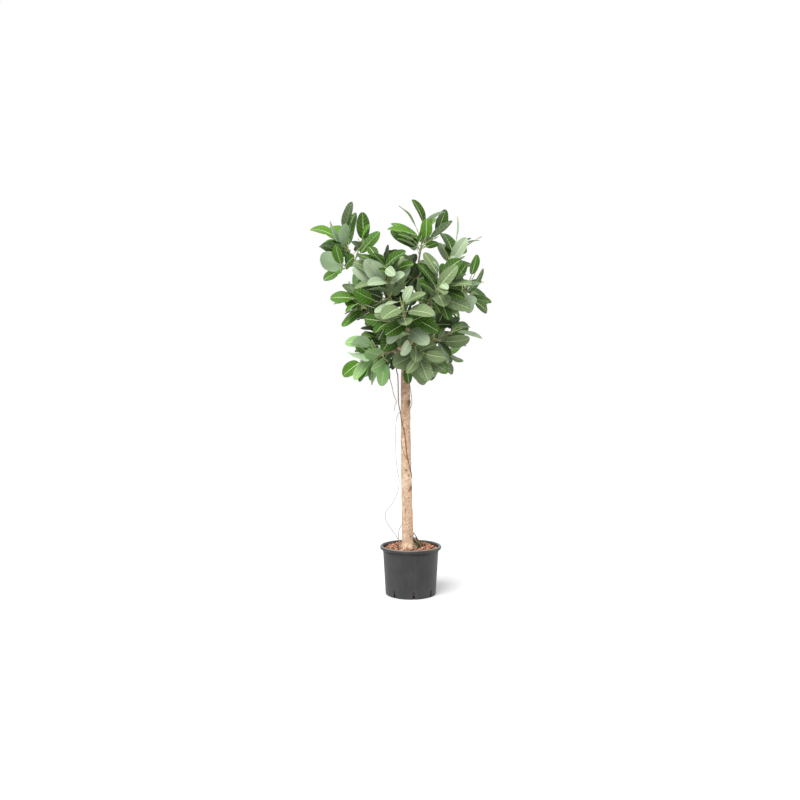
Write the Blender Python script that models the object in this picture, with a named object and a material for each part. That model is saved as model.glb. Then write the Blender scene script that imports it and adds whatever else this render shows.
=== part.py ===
"""Standard (lollipop) banyan fig in a round nursery pot.

A bare stem with a root flare rises from the potting mix. Boughs leave its upper end, and each carries one
mass of foliage: a stem with shoots on it, and stalked oval leaves set in a spiral along each shoot, all by a
seeded rule. Aerial roots hang from the boughs, cling to the stem and prop its foot.

Metres, +Z up, the front towards -Y. The origin is the centre of the pot's flat underside.
"""

import math
import random
from typing import NamedTuple

import bmesh
import bpy
from mathutils import Vector
from mathutils.bvhtree import BVHTree

UP = Vector((0, 0, 1))
FRONT = Vector((0, -1, 0))

# Space kept between two solids that touch in the real plant
GAP = 0.0003

# The pot
POT_HEIGHT = 0.221
RIM_RADIUS = 0.140
RIM_HEIGHT = 0.016
WALL_TOP_RADIUS = 0.1280
WALL_FOOT_RADIUS = 0.1145
WALL_THICKNESS = 0.0022
FLOOR_THICKNESS = 0.003
FOOT_ROUNDING = 0.004
POT_SIDES = 32
SLOT_COUNT = 8
SLOT_WIDTH = 0.008
SLOT_HEIGHT = 0.033
SLOT_DEPTH = 0.014
SLOT_TURN = math.radians(-84)

# The potting mix: its level round the stem, and from there its rise to the back and its drop at the wall
MIX_LEVEL = 0.204
MIX_FLAT_RADIUS = 0.062
MIX_SHOULDER_RADIUS = 0.088
MIX_SLOPE = 0.08
MIX_EDGE_DROP = 0.003

# The stem
FORK_HEIGHT = 1.215
STEM_FOOT_X = -0.0114
STEM_BOW = -0.0125
STEM_RADIUS_LOW = 0.0258
STEM_RADIUS_FORK = 0.0190
STEM_TAPER_START = 0.30
FLARE = 0.0085
FLARE_FADE = 0.024
TOE_COUNT = 5
TOE_DEPTH = 0.0035
TOE_TURN = math.radians(-112)
STEM_SIDES = 14
STEM_RINGS = 17

# Scars of cut side shoots: height, azimuth, how far they stand out, half their height
KNOTS = (
    (0.876, math.radians(-30), 0.0040, 0.016),
    (0.590, math.radians(35), 0.0035, 0.012),
    (0.485, math.radians(-38), 0.0035, 0.012),
    (0.700, math.radians(150), 0.0030, 0.013),
    (0.395, math.radians(95), 0.0030, 0.012),
)

# The boughs leave the stem one above another, the lowest mass of foliage first. The last is the leader
HUB = Vector((-0.024, 0.0, 1.120))
BOUGH_LOWEST, BOUGH_HIGHEST = 1.025, 1.188
BOUGH_RADIUS = 0.0070
BOUGH_TIP_RADIUS = 0.0045
LEADER_RADIUS = 0.0120
BOUGH_RISE = 0.55
BOUGH_REACH_IN = 0.75
BOUGH_SIDES = 6
BOUGH_RINGS = 5

# Shoots
STEM_END = 0.85
FIRST_SHOOT = 0.30
SHOOT_RADIUS = 0.0028
SHOOT_TIP_RADIUS = 0.0014
SHOOT_RINGS = 3
SHOOT_SPREAD = math.radians(82)
SHOOT_RISE = 0.22
SHOOT_SHORTEST, SHOOT_LONGEST = 0.36, 0.58
GOLDEN_ANGLE = math.radians(137.508)

# Leaves turn their faces along their shoot, away from the middle of the crown, to the front and up
CROWN_MIDDLE = Vector((-0.030, 0.0, 1.300))
FACE_ALONG, FACE_OUT, FACE_FRONT, FACE_UP = 0.8, 0.5, 0.6, 0.25
LEAF_LENGTH = 0.150
LEAF_NARROWEST, LEAF_WIDEST = 0.46, 0.66
LEAF_THICKNESS = 0.014
LEAF_STATIONS = (0.10, 0.42, 0.78)
LEAF_BLUNTNESS = 0.48
LEAF_OPENING = math.radians(30)
LEAF_OPENING_STEP = math.radians(14)
LEAF_OPENING_MOST = math.radians(80)
LEAF_OPENING_STRAY = math.radians(8)
LEAF_ROLL = 1.1
LEAF_OUT = 0.20

# Leaves hang the more the lower they are under a level
HANG_TOP = 1.55
HANG = 0.9
HANG_LEAST = 0.05

STALK_LENGTH = 0.030
STALK_RADIUS = 0.0010
LEAF_TRIES = 14
SPACE_MARGIN = 0.0025
LIMB_CLEARANCE = 0.0015


class Mass(NamedTuple):
    """One mass of foliage: the middle and the reach of its space, and what grows in it."""

    centre: Vector
    reach: float
    shoots: int
    size: float
    spacing: float
    seed: int


MASSES = {
    "bottom_front": Mass(Vector((0.025, -0.120, 1.075)), 0.155, 5, 0.90, 0.029, 62),
    "left_low": Mass(Vector((-0.188, -0.080, 1.085)), 0.158, 5, 1.00, 0.030, 249),
    "back_right_low": Mass(Vector((0.105, 0.155, 1.125)), 0.165, 5, 0.95, 0.027, 436),
    "back_left_low": Mass(Vector((-0.120, 0.165, 1.140)), 0.170, 5, 0.95, 0.027, 114),
    "right_low": Mass(Vector((0.190, 0.000, 1.190)), 0.165, 5, 0.85, 0.033, 338),
    "front": Mass(Vector((-0.030, -0.240, 1.235)), 0.180, 7, 0.85, 0.022, 355),
    "back": Mass(Vector((0.000, 0.240, 1.245)), 0.150, 5, 0.95, 0.027, 348),
    "left": Mass(Vector((-0.235, 0.000, 1.345)), 0.150, 5, 0.90, 0.036, 360),
    "front_right": Mass(Vector((0.120, -0.180, 1.360)), 0.175, 6, 0.85, 0.022, 524),
    "back_right": Mass(Vector((0.125, 0.225, 1.375)), 0.180, 5, 1.00, 0.027, 64),
    "back_left": Mass(Vector((-0.150, 0.220, 1.390)), 0.180, 5, 1.00, 0.027, 254),
    "right": Mass(Vector((0.272, 0.000, 1.410)), 0.175, 5, 0.95, 0.042, 474),
    "front_left": Mass(Vector((-0.115, -0.190, 1.405)), 0.175, 6, 0.88, 0.022, 251),
    "right_high": Mass(Vector((0.205, 0.050, 1.570)), 0.170, 5, 1.00, 0.040, 428),
    "upper_left": Mass(Vector((-0.300, 0.020, 1.600)), 0.200, 5, 1.05, 0.044, 122),
    "upper_right": Mass(Vector((0.055, -0.010, 1.640)), 0.175, 5, 1.00, 0.036, 222),
    "middle": Mass(Vector((-0.030, 0.040, 1.480)), 0.175, 6, 0.90, 0.022, 414),
}

# Aerial roots, as the stops of their routes. The wrapping root goes on down the bark between two heights
ROOT_HANGING = (
    (-0.099, -0.030, 1.027),
    (-0.099, -0.031, 0.995),
    (-0.086, -0.032, 0.949),
    (-0.076, -0.032, 0.903),
    (-0.065, -0.030, 0.880),
    (-0.072, -0.031, 0.858),
    (-0.075, -0.032, 0.835),
)
ROOT_WRAPPING = (
    (-0.065, -0.012, 1.027),
    (-0.059, -0.010, 0.995),
    (-0.057, -0.008, 0.926),
    (-0.055, -0.006, 0.867),
)
ROOT_LONG = (
    (-0.060, -0.012, 0.816),
    (-0.066, -0.014, 0.784),
    (-0.070, -0.014, 0.748),
    (-0.069, -0.013, 0.690),
    (-0.067, -0.012, 0.620),
    (-0.061, -0.012, 0.565),
    (-0.053, -0.012, 0.519),
    (-0.057, -0.013, 0.473),
    (-0.069, -0.014, 0.441),
    (-0.087, -0.016, 0.409),
    (-0.110, -0.018, 0.382),
    (-0.116, -0.020, 0.359),
    (-0.110, -0.022, 0.331),
    (-0.087, -0.025, 0.295),
    (-0.069, -0.028, 0.272),
    (-0.050, -0.032, 0.236),
    (-0.046, -0.033, 0.215),
)
ROOT_PROP_RIGHT = ((0.022, -0.008, 0.266), (0.034, -0.011, 0.243), (0.050, -0.014, 0.218))
ROOT_PROP_LEFT = ((-0.051, -0.004, 0.296), (-0.056, -0.005, 0.265), (-0.057, -0.006, 0.228))
WRAP_TOP = 0.828
WRAP_FOOT = 0.528
WRAP_STOPS = 9
WRAP_SWAY = 0.12
ROOT_SIDES = 4
ROOT_HANGING_RINGS = 15
ROOT_WRAPPING_RINGS = 30
ROOT_LONG_RINGS = 36
ROOT_PROP_RINGS = 9
ROOT_LONG_RADIUS = 0.0010


def principled(name, colour, roughness):
    """A material of one colour."""
    material = bpy.data.materials.new(name)
    material.use_nodes = True
    shader = material.node_tree.nodes["Principled BSDF"]
    shader.inputs["Base Color"].default_value = (*colour, 1.0)
    shader.inputs["Roughness"].default_value = roughness
    shader.inputs["Metallic"].default_value = 0.0
    return material


def finish(thing, material, smooth_degrees):
    """Gives a sub-part its material and its shading."""
    thing.data.materials.clear()
    thing.data.materials.append(material)
    thing.data.shade_smooth()
    thing.data.set_sharp_from_angle(angle=math.radians(smooth_degrees))


def solid(name, points, faces):
    """A new object in the scene from a closed list of points and faces."""
    mesh = bpy.data.meshes.new(name)
    mesh.from_pydata([tuple(p) for p in points], [], faces)
    thing = bpy.data.objects.new(name, mesh)
    bpy.context.scene.collection.objects.link(thing)
    return thing


def lofted(rings):
    """Points and faces of a closed solid through rings of equal counts. A ring of one point is a tip."""
    points, faces, starts = [], [], []
    for ring in rings:
        starts.append(len(points))
        points.extend(ring)
    for lower, upper, a, b in zip(rings, rings[1:], starts, starts[1:]):
        sides = max(len(lower), len(upper))
        for i in range(sides):
            j = (i + 1) % sides
            if len(lower) == 1:
                faces.append((a, b + j, b + i))
            elif len(upper) == 1:
                faces.append((a + i, a + j, b))
            else:
                faces.append((a + i, a + j, b + j, b + i))
    if len(rings[0]) > 1:
        faces.append(tuple(starts[0] + i for i in reversed(range(len(rings[0])))))
    if len(rings[-1]) > 1:
        faces.append(tuple(starts[-1] + i for i in range(len(rings[-1]))))
    return points, faces


def across(direction, near):
    """Two unit vectors square to a direction, the first as close to another vector as it can be."""
    first = near - direction * near.dot(direction)
    if first.length < 1e-6:
        first = direction.orthogonal()
    first.normalize()
    return first, direction.cross(first)


def bezier(a, b, c, d, count):
    """Points and directions along a cubic curve."""
    found = []
    for i in range(count):
        t = i / (count - 1)
        u = 1 - t
        point = a * u**3 + b * (3 * u * u * t) + c * (3 * u * t * t) + d * t**3
        heading = (b - a) * (u * u) + (c - b) * (2 * u * t) + (d - c) * (t * t)
        found.append((point, heading.normalized()))
    return found


def smooth_route(stops, count):
    """Points and directions along a smooth curve through every stop."""
    ends = [stops[0] * 2 - stops[1], *stops, stops[-1] * 2 - stops[-2]]
    spans = len(stops) - 1
    found = []
    for i in range(count):
        along = i / (count - 1) * spans
        k = min(int(along), spans - 1)
        t = along - k
        a, b, c, d = ends[k : k + 4]
        point = (
            b * 2 + (c - a) * t + (a * 2 - b * 5 + c * 4 - d) * t**2 + (b * 3 - a - c * 3 + d) * t**3
        ) * 0.5
        heading = (c - a) + (a * 2 - b * 5 + c * 4 - d) * (2 * t) + (b * 3 - a - c * 3 + d) * (3 * t**2)
        found.append((point, heading.normalized()))
    return found


def tube(path, radii, sides, near=UP):
    """Rings of a round limb along a path of points and directions."""
    rings = []
    for (point, heading), radius in zip(path, radii):
        near, other = across(heading, near)
        turns = (2 * math.pi * i / sides for i in range(sides))
        rings.append([point + (near * math.cos(t) + other * math.sin(t)) * radius for t in turns])
    return rings


def tapering(start, end, count):
    return [start + (end - start) * i / (count - 1) for i in range(count)]


def length_of(path):
    return sum((b[0] - a[0]).length for a, b in zip(path, path[1:]))


def point_on(path, share):
    """Point and direction at a share of a path's length."""
    left = share * length_of(path)
    for (a, heading), (b, after) in zip(path, path[1:]):
        length = (b - a).length
        if left <= length:
            t = left / length
            return a.lerp(b, t), heading.lerp(after, t).normalized()
        left -= length
    return path[-1]


def boolean(thing, operation, other):
    """Applies one Boolean with an object or a collection, and removes what it used."""
    modifier = thing.modifiers.new("boolean", "BOOLEAN")
    modifier.operation = operation
    modifier.solver = "EXACT"
    if isinstance(other, bpy.types.Collection):
        modifier.operand_type = "COLLECTION"
        modifier.collection = other
    else:
        modifier.object = other
    graph = bpy.context.evaluated_depsgraph_get()
    mesh = bpy.data.meshes.new_from_object(thing.evaluated_get(graph))
    thing.modifiers.clear()
    thing.data = mesh
    if isinstance(other, bpy.types.Collection):
        for piece in list(other.objects):
            bpy.data.objects.remove(piece)
        bpy.data.collections.remove(other)
    else:
        bpy.data.objects.remove(other)


def keep_largest_shell(thing):
    """Drops the sealed hollows and loose scraps that a union may leave."""
    shape = bmesh.new()
    shape.from_mesh(thing.data)
    unseen = set(shape.verts)
    shells = []
    while unseen:
        shell, edge = set(), [unseen.pop()]
        while edge:
            vertex = edge.pop()
            shell.add(vertex)
            for link in vertex.link_edges:
                other = link.other_vert(vertex)
                if other in unseen:
                    unseen.remove(other)
                    edge.append(other)
        shells.append(shell)
    largest = max(shells, key=len)
    scraps = [vertex for shell in shells if shell is not largest for vertex in shell]
    bmesh.ops.delete(shape, geom=scraps, context="VERTS")
    shape.to_mesh(thing.data)
    shape.free()


def wall_radius(height):
    """Outer radius of the pot's wall at a height."""
    return WALL_FOOT_RADIUS + (WALL_TOP_RADIUS - WALL_FOOT_RADIUS) * height / POT_HEIGHT


def turned(profile, sides):
    """A solid spun from a profile of (radius, height) that starts and ends on the axis."""
    rings = []
    for radius, height in profile:
        if radius == 0:
            rings.append([Vector((0, 0, height))])
            continue
        turns = (2 * math.pi * i / sides for i in range(sides))
        rings.append([Vector((radius * math.cos(t), radius * math.sin(t), height)) for t in turns])
    return lofted(rings)


def pot_profile():
    """From the middle of the underside, up the wall, round the rolled rim and down the inside."""
    rim_foot = POT_HEIGHT - RIM_HEIGHT
    roll = RIM_HEIGHT * 0.4
    inner_top = WALL_TOP_RADIUS - WALL_THICKNESS
    return [
        (0, 0),
        (WALL_FOOT_RADIUS - FOOT_ROUNDING, 0),
        (WALL_FOOT_RADIUS - FOOT_ROUNDING * 0.3, FOOT_ROUNDING * 0.3),
        (wall_radius(FOOT_ROUNDING), FOOT_ROUNDING),
        (wall_radius(rim_foot), rim_foot),
        (RIM_RADIUS - roll, rim_foot),
        (RIM_RADIUS, rim_foot + roll),
        (RIM_RADIUS, POT_HEIGHT - roll),
        (RIM_RADIUS - roll, POT_HEIGHT),
        (inner_top + roll * 0.5, POT_HEIGHT),
        (inner_top, POT_HEIGHT - roll),
        (wall_radius(FLOOR_THICKNESS) - WALL_THICKNESS, FLOOR_THICKNESS),
        (0, FLOOR_THICKNESS),
    ]


def drain_slots():
    """Blocks that cut the drain slots out of the pot's lower edge."""
    shape = bmesh.new()
    for i in range(SLOT_COUNT):
        turn = SLOT_TURN + 2 * math.pi * i / SLOT_COUNT
        outward = Vector((math.cos(turn), math.sin(turn), 0))
        sideways = UP.cross(outward)
        for vertex in bmesh.ops.create_cube(shape, size=1.0)["verts"]:
            out, side, up = vertex.co
            from_axis = WALL_FOOT_RADIUS + out * 2 * SLOT_DEPTH
            vertex.co = outward * from_axis + sideways * (side * SLOT_WIDTH) + UP * (2 * SLOT_HEIGHT * up)
    mesh = bpy.data.meshes.new("drain_slots")
    shape.to_mesh(mesh)
    shape.free()
    thing = bpy.data.objects.new("drain_slots", mesh)
    bpy.context.scene.collection.objects.link(thing)
    return thing


def make_pot():
    pot = solid("pot", *turned(pot_profile(), POT_SIDES))
    boolean(pot, "DIFFERENCE", drain_slots())
    finish(pot, principled("pot_plastic", (0.070, 0.071, 0.074), 0.5), 35)


def make_mix():
    """The potting mix fills the pot up to a little below its rim, flat round the stem and higher at the back."""
    low = FLOOR_THICKNESS + GAP
    edge = MIX_LEVEL - MIX_EDGE_DROP

    def inside(height):
        facet = math.cos(math.pi / POT_SIDES)
        return (wall_radius(height) - WALL_THICKNESS) * facet - GAP

    profile = [
        (0, low),
        (inside(low), low),
        (inside(edge - MIX_SLOPE * RIM_RADIUS), edge),
        (MIX_SHOULDER_RADIUS, MIX_LEVEL),
        (MIX_FLAT_RADIUS, MIX_LEVEL),
        (0, MIX_LEVEL),
    ]
    points, faces = turned(profile, POT_SIDES // 2)
    for point in points:
        if point.z > MIX_LEVEL / 2 and point.xy.length > (MIX_FLAT_RADIUS + MIX_SHOULDER_RADIUS) / 2:
            point.z += MIX_SLOPE * point.y
    mix = solid("potting_mix", points, faces)
    finish(mix, principled("potting_mix", (0.45, 0.225, 0.14), 0.9), 40)


def stem_axis(height):
    """Middle of the stem at a height: it bows a little to one side."""
    share = (height - MIX_LEVEL) / (FORK_HEIGHT - MIX_LEVEL)
    return Vector((STEM_FOOT_X + STEM_BOW * math.sin(0.7 * math.pi * share), 0, height))


def stem_radius(height, turn):
    """Radius of the stem at a height and an azimuth, with its root flare, its toes and its knots."""
    share = max(0.0, (height - STEM_TAPER_START) / (FORK_HEIGHT - STEM_TAPER_START))
    radius = STEM_RADIUS_LOW + (STEM_RADIUS_FORK - STEM_RADIUS_LOW) * share
    near_ground = math.exp(-(height - MIX_LEVEL) / FLARE_FADE)
    radius += near_ground * (FLARE + TOE_DEPTH * math.cos(TOE_COUNT * (turn - TOE_TURN)))
    for knot_height, knot_turn, stand, half in KNOTS:
        away = math.remainder(turn - knot_turn, 2 * math.pi) * radius
        distance = math.hypot(height - knot_height, away) / half
        radius += stand * math.exp(-2.5 * distance * distance)
    return radius


def on_stem(height, turn, off=0.0):
    """A point on the stem's bark, or off it by a distance."""
    out = Vector((math.cos(turn), math.sin(turn), 0))
    return stem_axis(height) + out * (stem_radius(height, turn) + off)


def stem_rings(off=0.0):
    """Rings up the stem, closer together at the flare."""
    rings = []
    for i in range(STEM_RINGS):
        share = (i / (STEM_RINGS - 1)) ** 1.4
        height = MIX_LEVEL + GAP + (FORK_HEIGHT - MIX_LEVEL - GAP) * share
        rings.append([on_stem(height, 2 * math.pi * k / STEM_SIDES, off) for k in range(STEM_SIDES)])
    return rings


def stem_room():
    """The stem with a gap all round and over its top, to cut the boughs by."""
    rings = stem_rings(GAP)
    rings[-1] = [point + UP * GAP for point in rings[-1]]
    return lofted(rings)


def make_stem(bark):
    finish(solid("trunk", *lofted(stem_rings())), bark, 40)


def is_leader(name):
    return name == list(MASSES)[-1]


def bough_start(name):
    """Where a bough leaves the stem's axis: one above another, and the leader from the top."""
    if is_leader(name):
        return stem_axis(FORK_HEIGHT)
    step = (BOUGH_HIGHEST - BOUGH_LOWEST) / (len(MASSES) - 2)
    return stem_axis(BOUGH_LOWEST + step * list(MASSES).index(name))


def bough_path(name):
    """From inside the stem to the place where the bough enters its mass."""
    mass = MASSES[name]
    from_hub = mass.centre - HUB
    arrive = from_hub.normalized()
    foot = mass.centre - arrive * min(BOUGH_REACH_IN * mass.reach, 0.62 * from_hub.length)
    start = bough_start(name)
    span = (foot - start).length
    level = Vector((mass.centre.x - start.x, mass.centre.y - start.y, 0)).normalized()
    leave = UP if is_leader(name) else (level + UP * BOUGH_RISE).normalized()
    return bezier(start, start + leave * span * 0.4, foot - arrive * span * 0.35, foot, BOUGH_RINGS)


def bough_radii(name, off=0.0):
    start = LEADER_RADIUS if is_leader(name) else BOUGH_RADIUS
    return [radius + off for radius in tapering(start, BOUGH_TIP_RADIUS, BOUGH_RINGS)]


def bough_solid(name, off=0.0):
    return lofted(tube(bough_path(name), bough_radii(name, off), BOUGH_SIDES))


def make_boughs(bark):
    for name in MASSES:
        bough = solid("bough_" + name, *bough_solid(name))
        boolean(bough, "DIFFERENCE", solid("stem_room", *stem_room()))
        finish(bough, bark, 40)


def make_root(name, route, radii, room, material):
    """An aerial root, cut clear of what it springs from."""
    root = solid(name, *lofted(tube(route, radii, ROOT_SIDES, near=FRONT)))
    boolean(root, "DIFFERENCE", solid("room", *room))
    finish(root, material, 50)


def to_mix(stops):
    """The stops of a root with its end straight down on the mix."""
    foot = stops[-1].copy()
    foot.z = MIX_LEVEL + GAP
    return [*stops, foot]


def make_roots(bark):
    hanging, wrapping, long, prop_right, prop_left = (
        [Vector(stop) for stop in stops]
        for stops in (ROOT_HANGING, ROOT_WRAPPING, ROOT_LONG, ROOT_PROP_RIGHT, ROOT_PROP_LEFT)
    )
    start = point_on(bough_path("left_low"), 0.55)[0]
    route = smooth_route([start, *hanging], ROOT_HANGING_RINGS)
    radii = tapering(0.0016, 0.0009, ROOT_HANGING_RINGS)
    make_root("root_hanging", route, radii, bough_solid("left_low", GAP), bark)

    radii = tapering(0.0022, 0.0016, ROOT_WRAPPING_RINGS)
    start = point_on(bough_path("left"), 0.25)[0]
    clinging = []
    for k in range(WRAP_STOPS):
        share = k / (WRAP_STOPS - 1)
        height = WRAP_TOP + (WRAP_FOOT - WRAP_TOP) * share
        turn = math.pi * (1 + share + WRAP_SWAY * math.sin(2 * math.pi * share))
        clinging.append(on_stem(height, turn, radii[0] + 4 * GAP))
    wrap = smooth_route([start, *wrapping, *clinging], ROOT_WRAPPING_RINGS)
    make_root("root_wrapping", wrap, radii, bough_solid("left", GAP), bark)

    # The long root springs from the wrapping one a little above the place where that meets the bark
    route = smooth_route(to_mix([wrap[11][0], *long]), ROOT_LONG_RINGS)
    room = lofted(tube(wrap, [radius + GAP for radius in radii], ROOT_SIDES, near=FRONT))
    make_root("root_long", route, [ROOT_LONG_RADIUS] * ROOT_LONG_RINGS, room, bark)

    for name, side, stops, radius in (
        ("root_prop_right", 0.0, prop_right, 0.0024),
        ("root_prop_left", math.pi, prop_left, 0.0013),
    ):
        start = on_stem(stops[0].z + 0.022, side, -4 * radius)
        route = smooth_route(to_mix([start, *stops]), ROOT_PROP_RINGS)
        make_root(name, route, [radius] * ROOT_PROP_RINGS, stem_room(), bark)


def tree_of(points, faces):
    return BVHTree.FromPolygons([tuple(p) for p in points], faces)


def limb_trees():
    """The stem and every bough, a little fattened, to keep the foliage off them."""
    stem = tree_of(*lofted(stem_rings(LIMB_CLEARANCE)))
    return [stem] + [tree_of(*bough_solid(name, LIMB_CLEARANCE)) for name in MASSES]


def in_space(point, name):
    """Whether a point is in the space of one mass: within its reach, and nearer to it than to any other."""
    own = (point - MASSES[name].centre).length - MASSES[name].reach
    if own > 0:
        return False
    for other, mass in MASSES.items():
        if other != name and (point - mass.centre).length - mass.reach < own + 2 * SPACE_MARGIN:
            return False
    return True


def mass_stem(name):
    """The stem of a mass goes on from its bough's tip towards the middle of the mass."""
    foot, along = bough_path(name)[-1]
    foot = foot + along * GAP
    centre = MASSES[name].centre
    tip = foot.lerp(centre, STEM_END)
    arrive = (along + UP * 0.4).normalized()
    span = (tip - foot).length
    return bezier(foot, foot + along * span * 0.4, tip - arrive * span * 0.3, tip, 3)


def shoot_paths(name, stem, rng):
    """Shoots leave the stem of a mass in a spiral, wide apart at its foot and closer together at its tip."""
    mass = MASSES[name]
    roll = rng.uniform(0, 2 * math.pi)
    found = []
    for k in range(mass.shoots):
        share = k / (mass.shoots - 1)
        start, along = point_on(stem, FIRST_SHOOT + (0.99 - FIRST_SHOOT) * share)
        near, other = across(along, UP)
        turn = roll + k * GOLDEN_ANGLE
        opening = SHOOT_SPREAD * (1 - share) ** 0.7 + rng.uniform(0.0, 0.2)
        out = near * math.cos(turn) + other * math.sin(turn)
        way = along * math.cos(opening) + out * math.sin(opening)
        way = (way + UP * SHOOT_RISE).normalized()
        span = mass.reach * rng.uniform(SHOOT_SHORTEST, SHOOT_LONGEST)
        tip = start + way * span
        bow = (along + way).normalized()
        found.append(bezier(start, start + bow * span * 0.4, tip - way * span * 0.3, tip, SHOOT_RINGS))
    return found


def half_width(share):
    """Half width of a leaf along its midrib as a share of the widest: an oval, blunt at both ends."""
    return math.sin(math.pi * share**0.9) ** LEAF_BLUNTNESS


class Leaf(NamedTuple):
    """One leaf: where its stalk is rooted, the way that leaves, the side its face turns to, and its sizes."""

    foot: Vector
    way: Vector
    face: Vector
    length: float
    stalk: float
    droop: float
    cup: float
    width: float


def leaf_rings(leaf):
    """Rings of three: both edges of the blade and the keel under its midrib. The blade arches to its tip."""
    up, side = across(leaf.way, leaf.face)
    rings = []
    for distance in (0.0, leaf.stalk):
        middle = leaf.foot + leaf.way * distance
        spread = side * (STALK_RADIUS * 0.87)
        top = middle + up * (STALK_RADIUS * 0.5)
        rings.append([top - spread, top + spread, middle - up * STALK_RADIUS])
    point = leaf.foot + leaf.way * leaf.stalk
    forward = leaf.way
    shares = (0.0, *LEAF_STATIONS, 1.0)
    for before, share in zip(shares, shares[1:]):
        bend = leaf.droop * (share - before)
        ahead = forward * math.cos(bend) - up * math.sin(bend)
        up = up * math.cos(bend) + forward * math.sin(bend)
        forward = ahead
        point = point + forward * (leaf.length * (share - before))
        if share == 1.0:
            rings.append([point])
            break
        wide = side * (leaf.length * leaf.width / 2 * half_width(share))
        lift = up * (wide.length * leaf.cup)
        keel = up * (leaf.length * LEAF_THICKNESS)
        rings.append([point - wide + lift, point + wide + lift, point - keel + lift * 0.2])
    return rings


def fitting(leaf, name, neighbours):
    """The leaf's solid and its search tree if it keeps to its space and touches nothing, or else None."""
    rings = leaf_rings(leaf)
    for ring in rings[1:]:
        for point in ring:
            if not in_space(point, name):
                return None
    free_from = 0.4
    clear = [[a.lerp(b, free_from) for a, b in zip(rings[0], rings[1])], *rings[1:]]
    tree = tree_of(*lofted(clear))
    if any(tree.overlap(other) for other in neighbours):
        return None
    return lofted(rings), tree


def leaf_try(foot, heading, order, turn, size, attempt, rng):
    """A leaf for its place on a shoot, counted from the tip. Later tries stray further from the ideal one."""
    stray = 1 + 0.35 * attempt
    turn = turn + rng.uniform(-0.25, 0.25) * stray
    opening = min(LEAF_OPENING_MOST, LEAF_OPENING + LEAF_OPENING_STEP * order)
    opening += rng.uniform(-LEAF_OPENING_STRAY, LEAF_OPENING_STRAY) * stray
    young = min(1.0, 0.78 + 0.10 * order)
    near, other = across(heading, UP)
    out = near * math.cos(turn) + other * math.sin(turn)
    outward = (foot - CROWN_MIDDLE).normalized()
    hang = HANG_LEAST + HANG * max(0.0, HANG_TOP - foot.z)
    way = heading * math.cos(opening) + out * math.sin(opening) + outward * LEAF_OUT - UP * hang
    face = heading * FACE_ALONG + outward * FACE_OUT + FRONT * FACE_FRONT + UP * FACE_UP
    return Leaf(
        foot=foot,
        way=way.normalized(),
        face=face + way.cross(outward) * rng.uniform(-LEAF_ROLL, LEAF_ROLL),
        length=LEAF_LENGTH * size * young * rng.uniform(0.86, 1.14) * (1 - 0.015 * attempt),
        stalk=STALK_LENGTH * young * rng.uniform(0.7, 1.3),
        droop=math.radians(rng.uniform(5, 40)),
        cup=rng.uniform(0.05, 0.30),
        width=rng.uniform(LEAF_NARROWEST, LEAF_WIDEST),
    )


def grow(name, limbs):
    """The closed pieces of one mass: its stem, its shoots and the leaves that fit."""
    mass = MASSES[name]
    rng = random.Random(mass.seed)
    stem = mass_stem(name)
    body = lofted(tube(stem, tapering(BOUGH_TIP_RADIUS, SHOOT_RADIUS, len(stem)), 5))
    pieces = [body]
    neighbours = [*limbs, tree_of(*body)]
    kept = []
    for path in shoot_paths(name, stem, rng):
        radii = tapering(SHOOT_RADIUS, SHOOT_TIP_RADIUS, len(path))
        free = tree_of(*lofted(tube(path[1:], radii[1:], 3)))
        if all(in_space(point, name) for point, _ in path[1:]) and not any(free.overlap(n) for n in limbs):
            kept.append(path)
            pieces.append(lofted(tube(path, radii, 3)))
            neighbours.append(free)
    leaves = []
    for path in kept:
        length = length_of(path)
        roll = rng.uniform(0, 2 * math.pi)
        for order in range(int((length - 0.01) / mass.spacing) + 2):
            foot, heading = point_on(path, 1 - min(0.9, (0.004 + mass.spacing * order) / length))
            for attempt in range(LEAF_TRIES):
                leaf = leaf_try(foot, heading, order, roll + order * GOLDEN_ANGLE, mass.size, attempt, rng)
                found = fitting(leaf, name, neighbours)
                if found:
                    pieces.append(found[0])
                    neighbours.append(found[1])
                    leaves.append(leaf)
                    break
    return pieces, leaves


def make_foliage():
    green = principled("leaves", (0.15, 0.27, 0.10), 0.55)
    limbs = limb_trees()
    for name in MASSES:
        pieces, _ = grow(name, limbs)
        others = bpy.data.collections.new("pieces")
        for points, faces in pieces[1:]:
            piece = solid("piece", points, faces)
            bpy.context.scene.collection.objects.unlink(piece)
            others.objects.link(piece)
        foliage = solid("foliage_" + name, *pieces[0])
        boolean(foliage, "UNION", others)
        keep_largest_shell(foliage)
        finish(foliage, green, 40)


def main():
    for thing in list(bpy.data.objects):
        bpy.data.objects.remove(thing)
    make_pot()
    make_mix()
    bark = principled("bark", (0.55, 0.38, 0.26), 0.85)
    make_stem(bark)
    make_boughs(bark)
    make_roots(bark)
    make_foliage()


if __name__ == "__main__":
    main()
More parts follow.
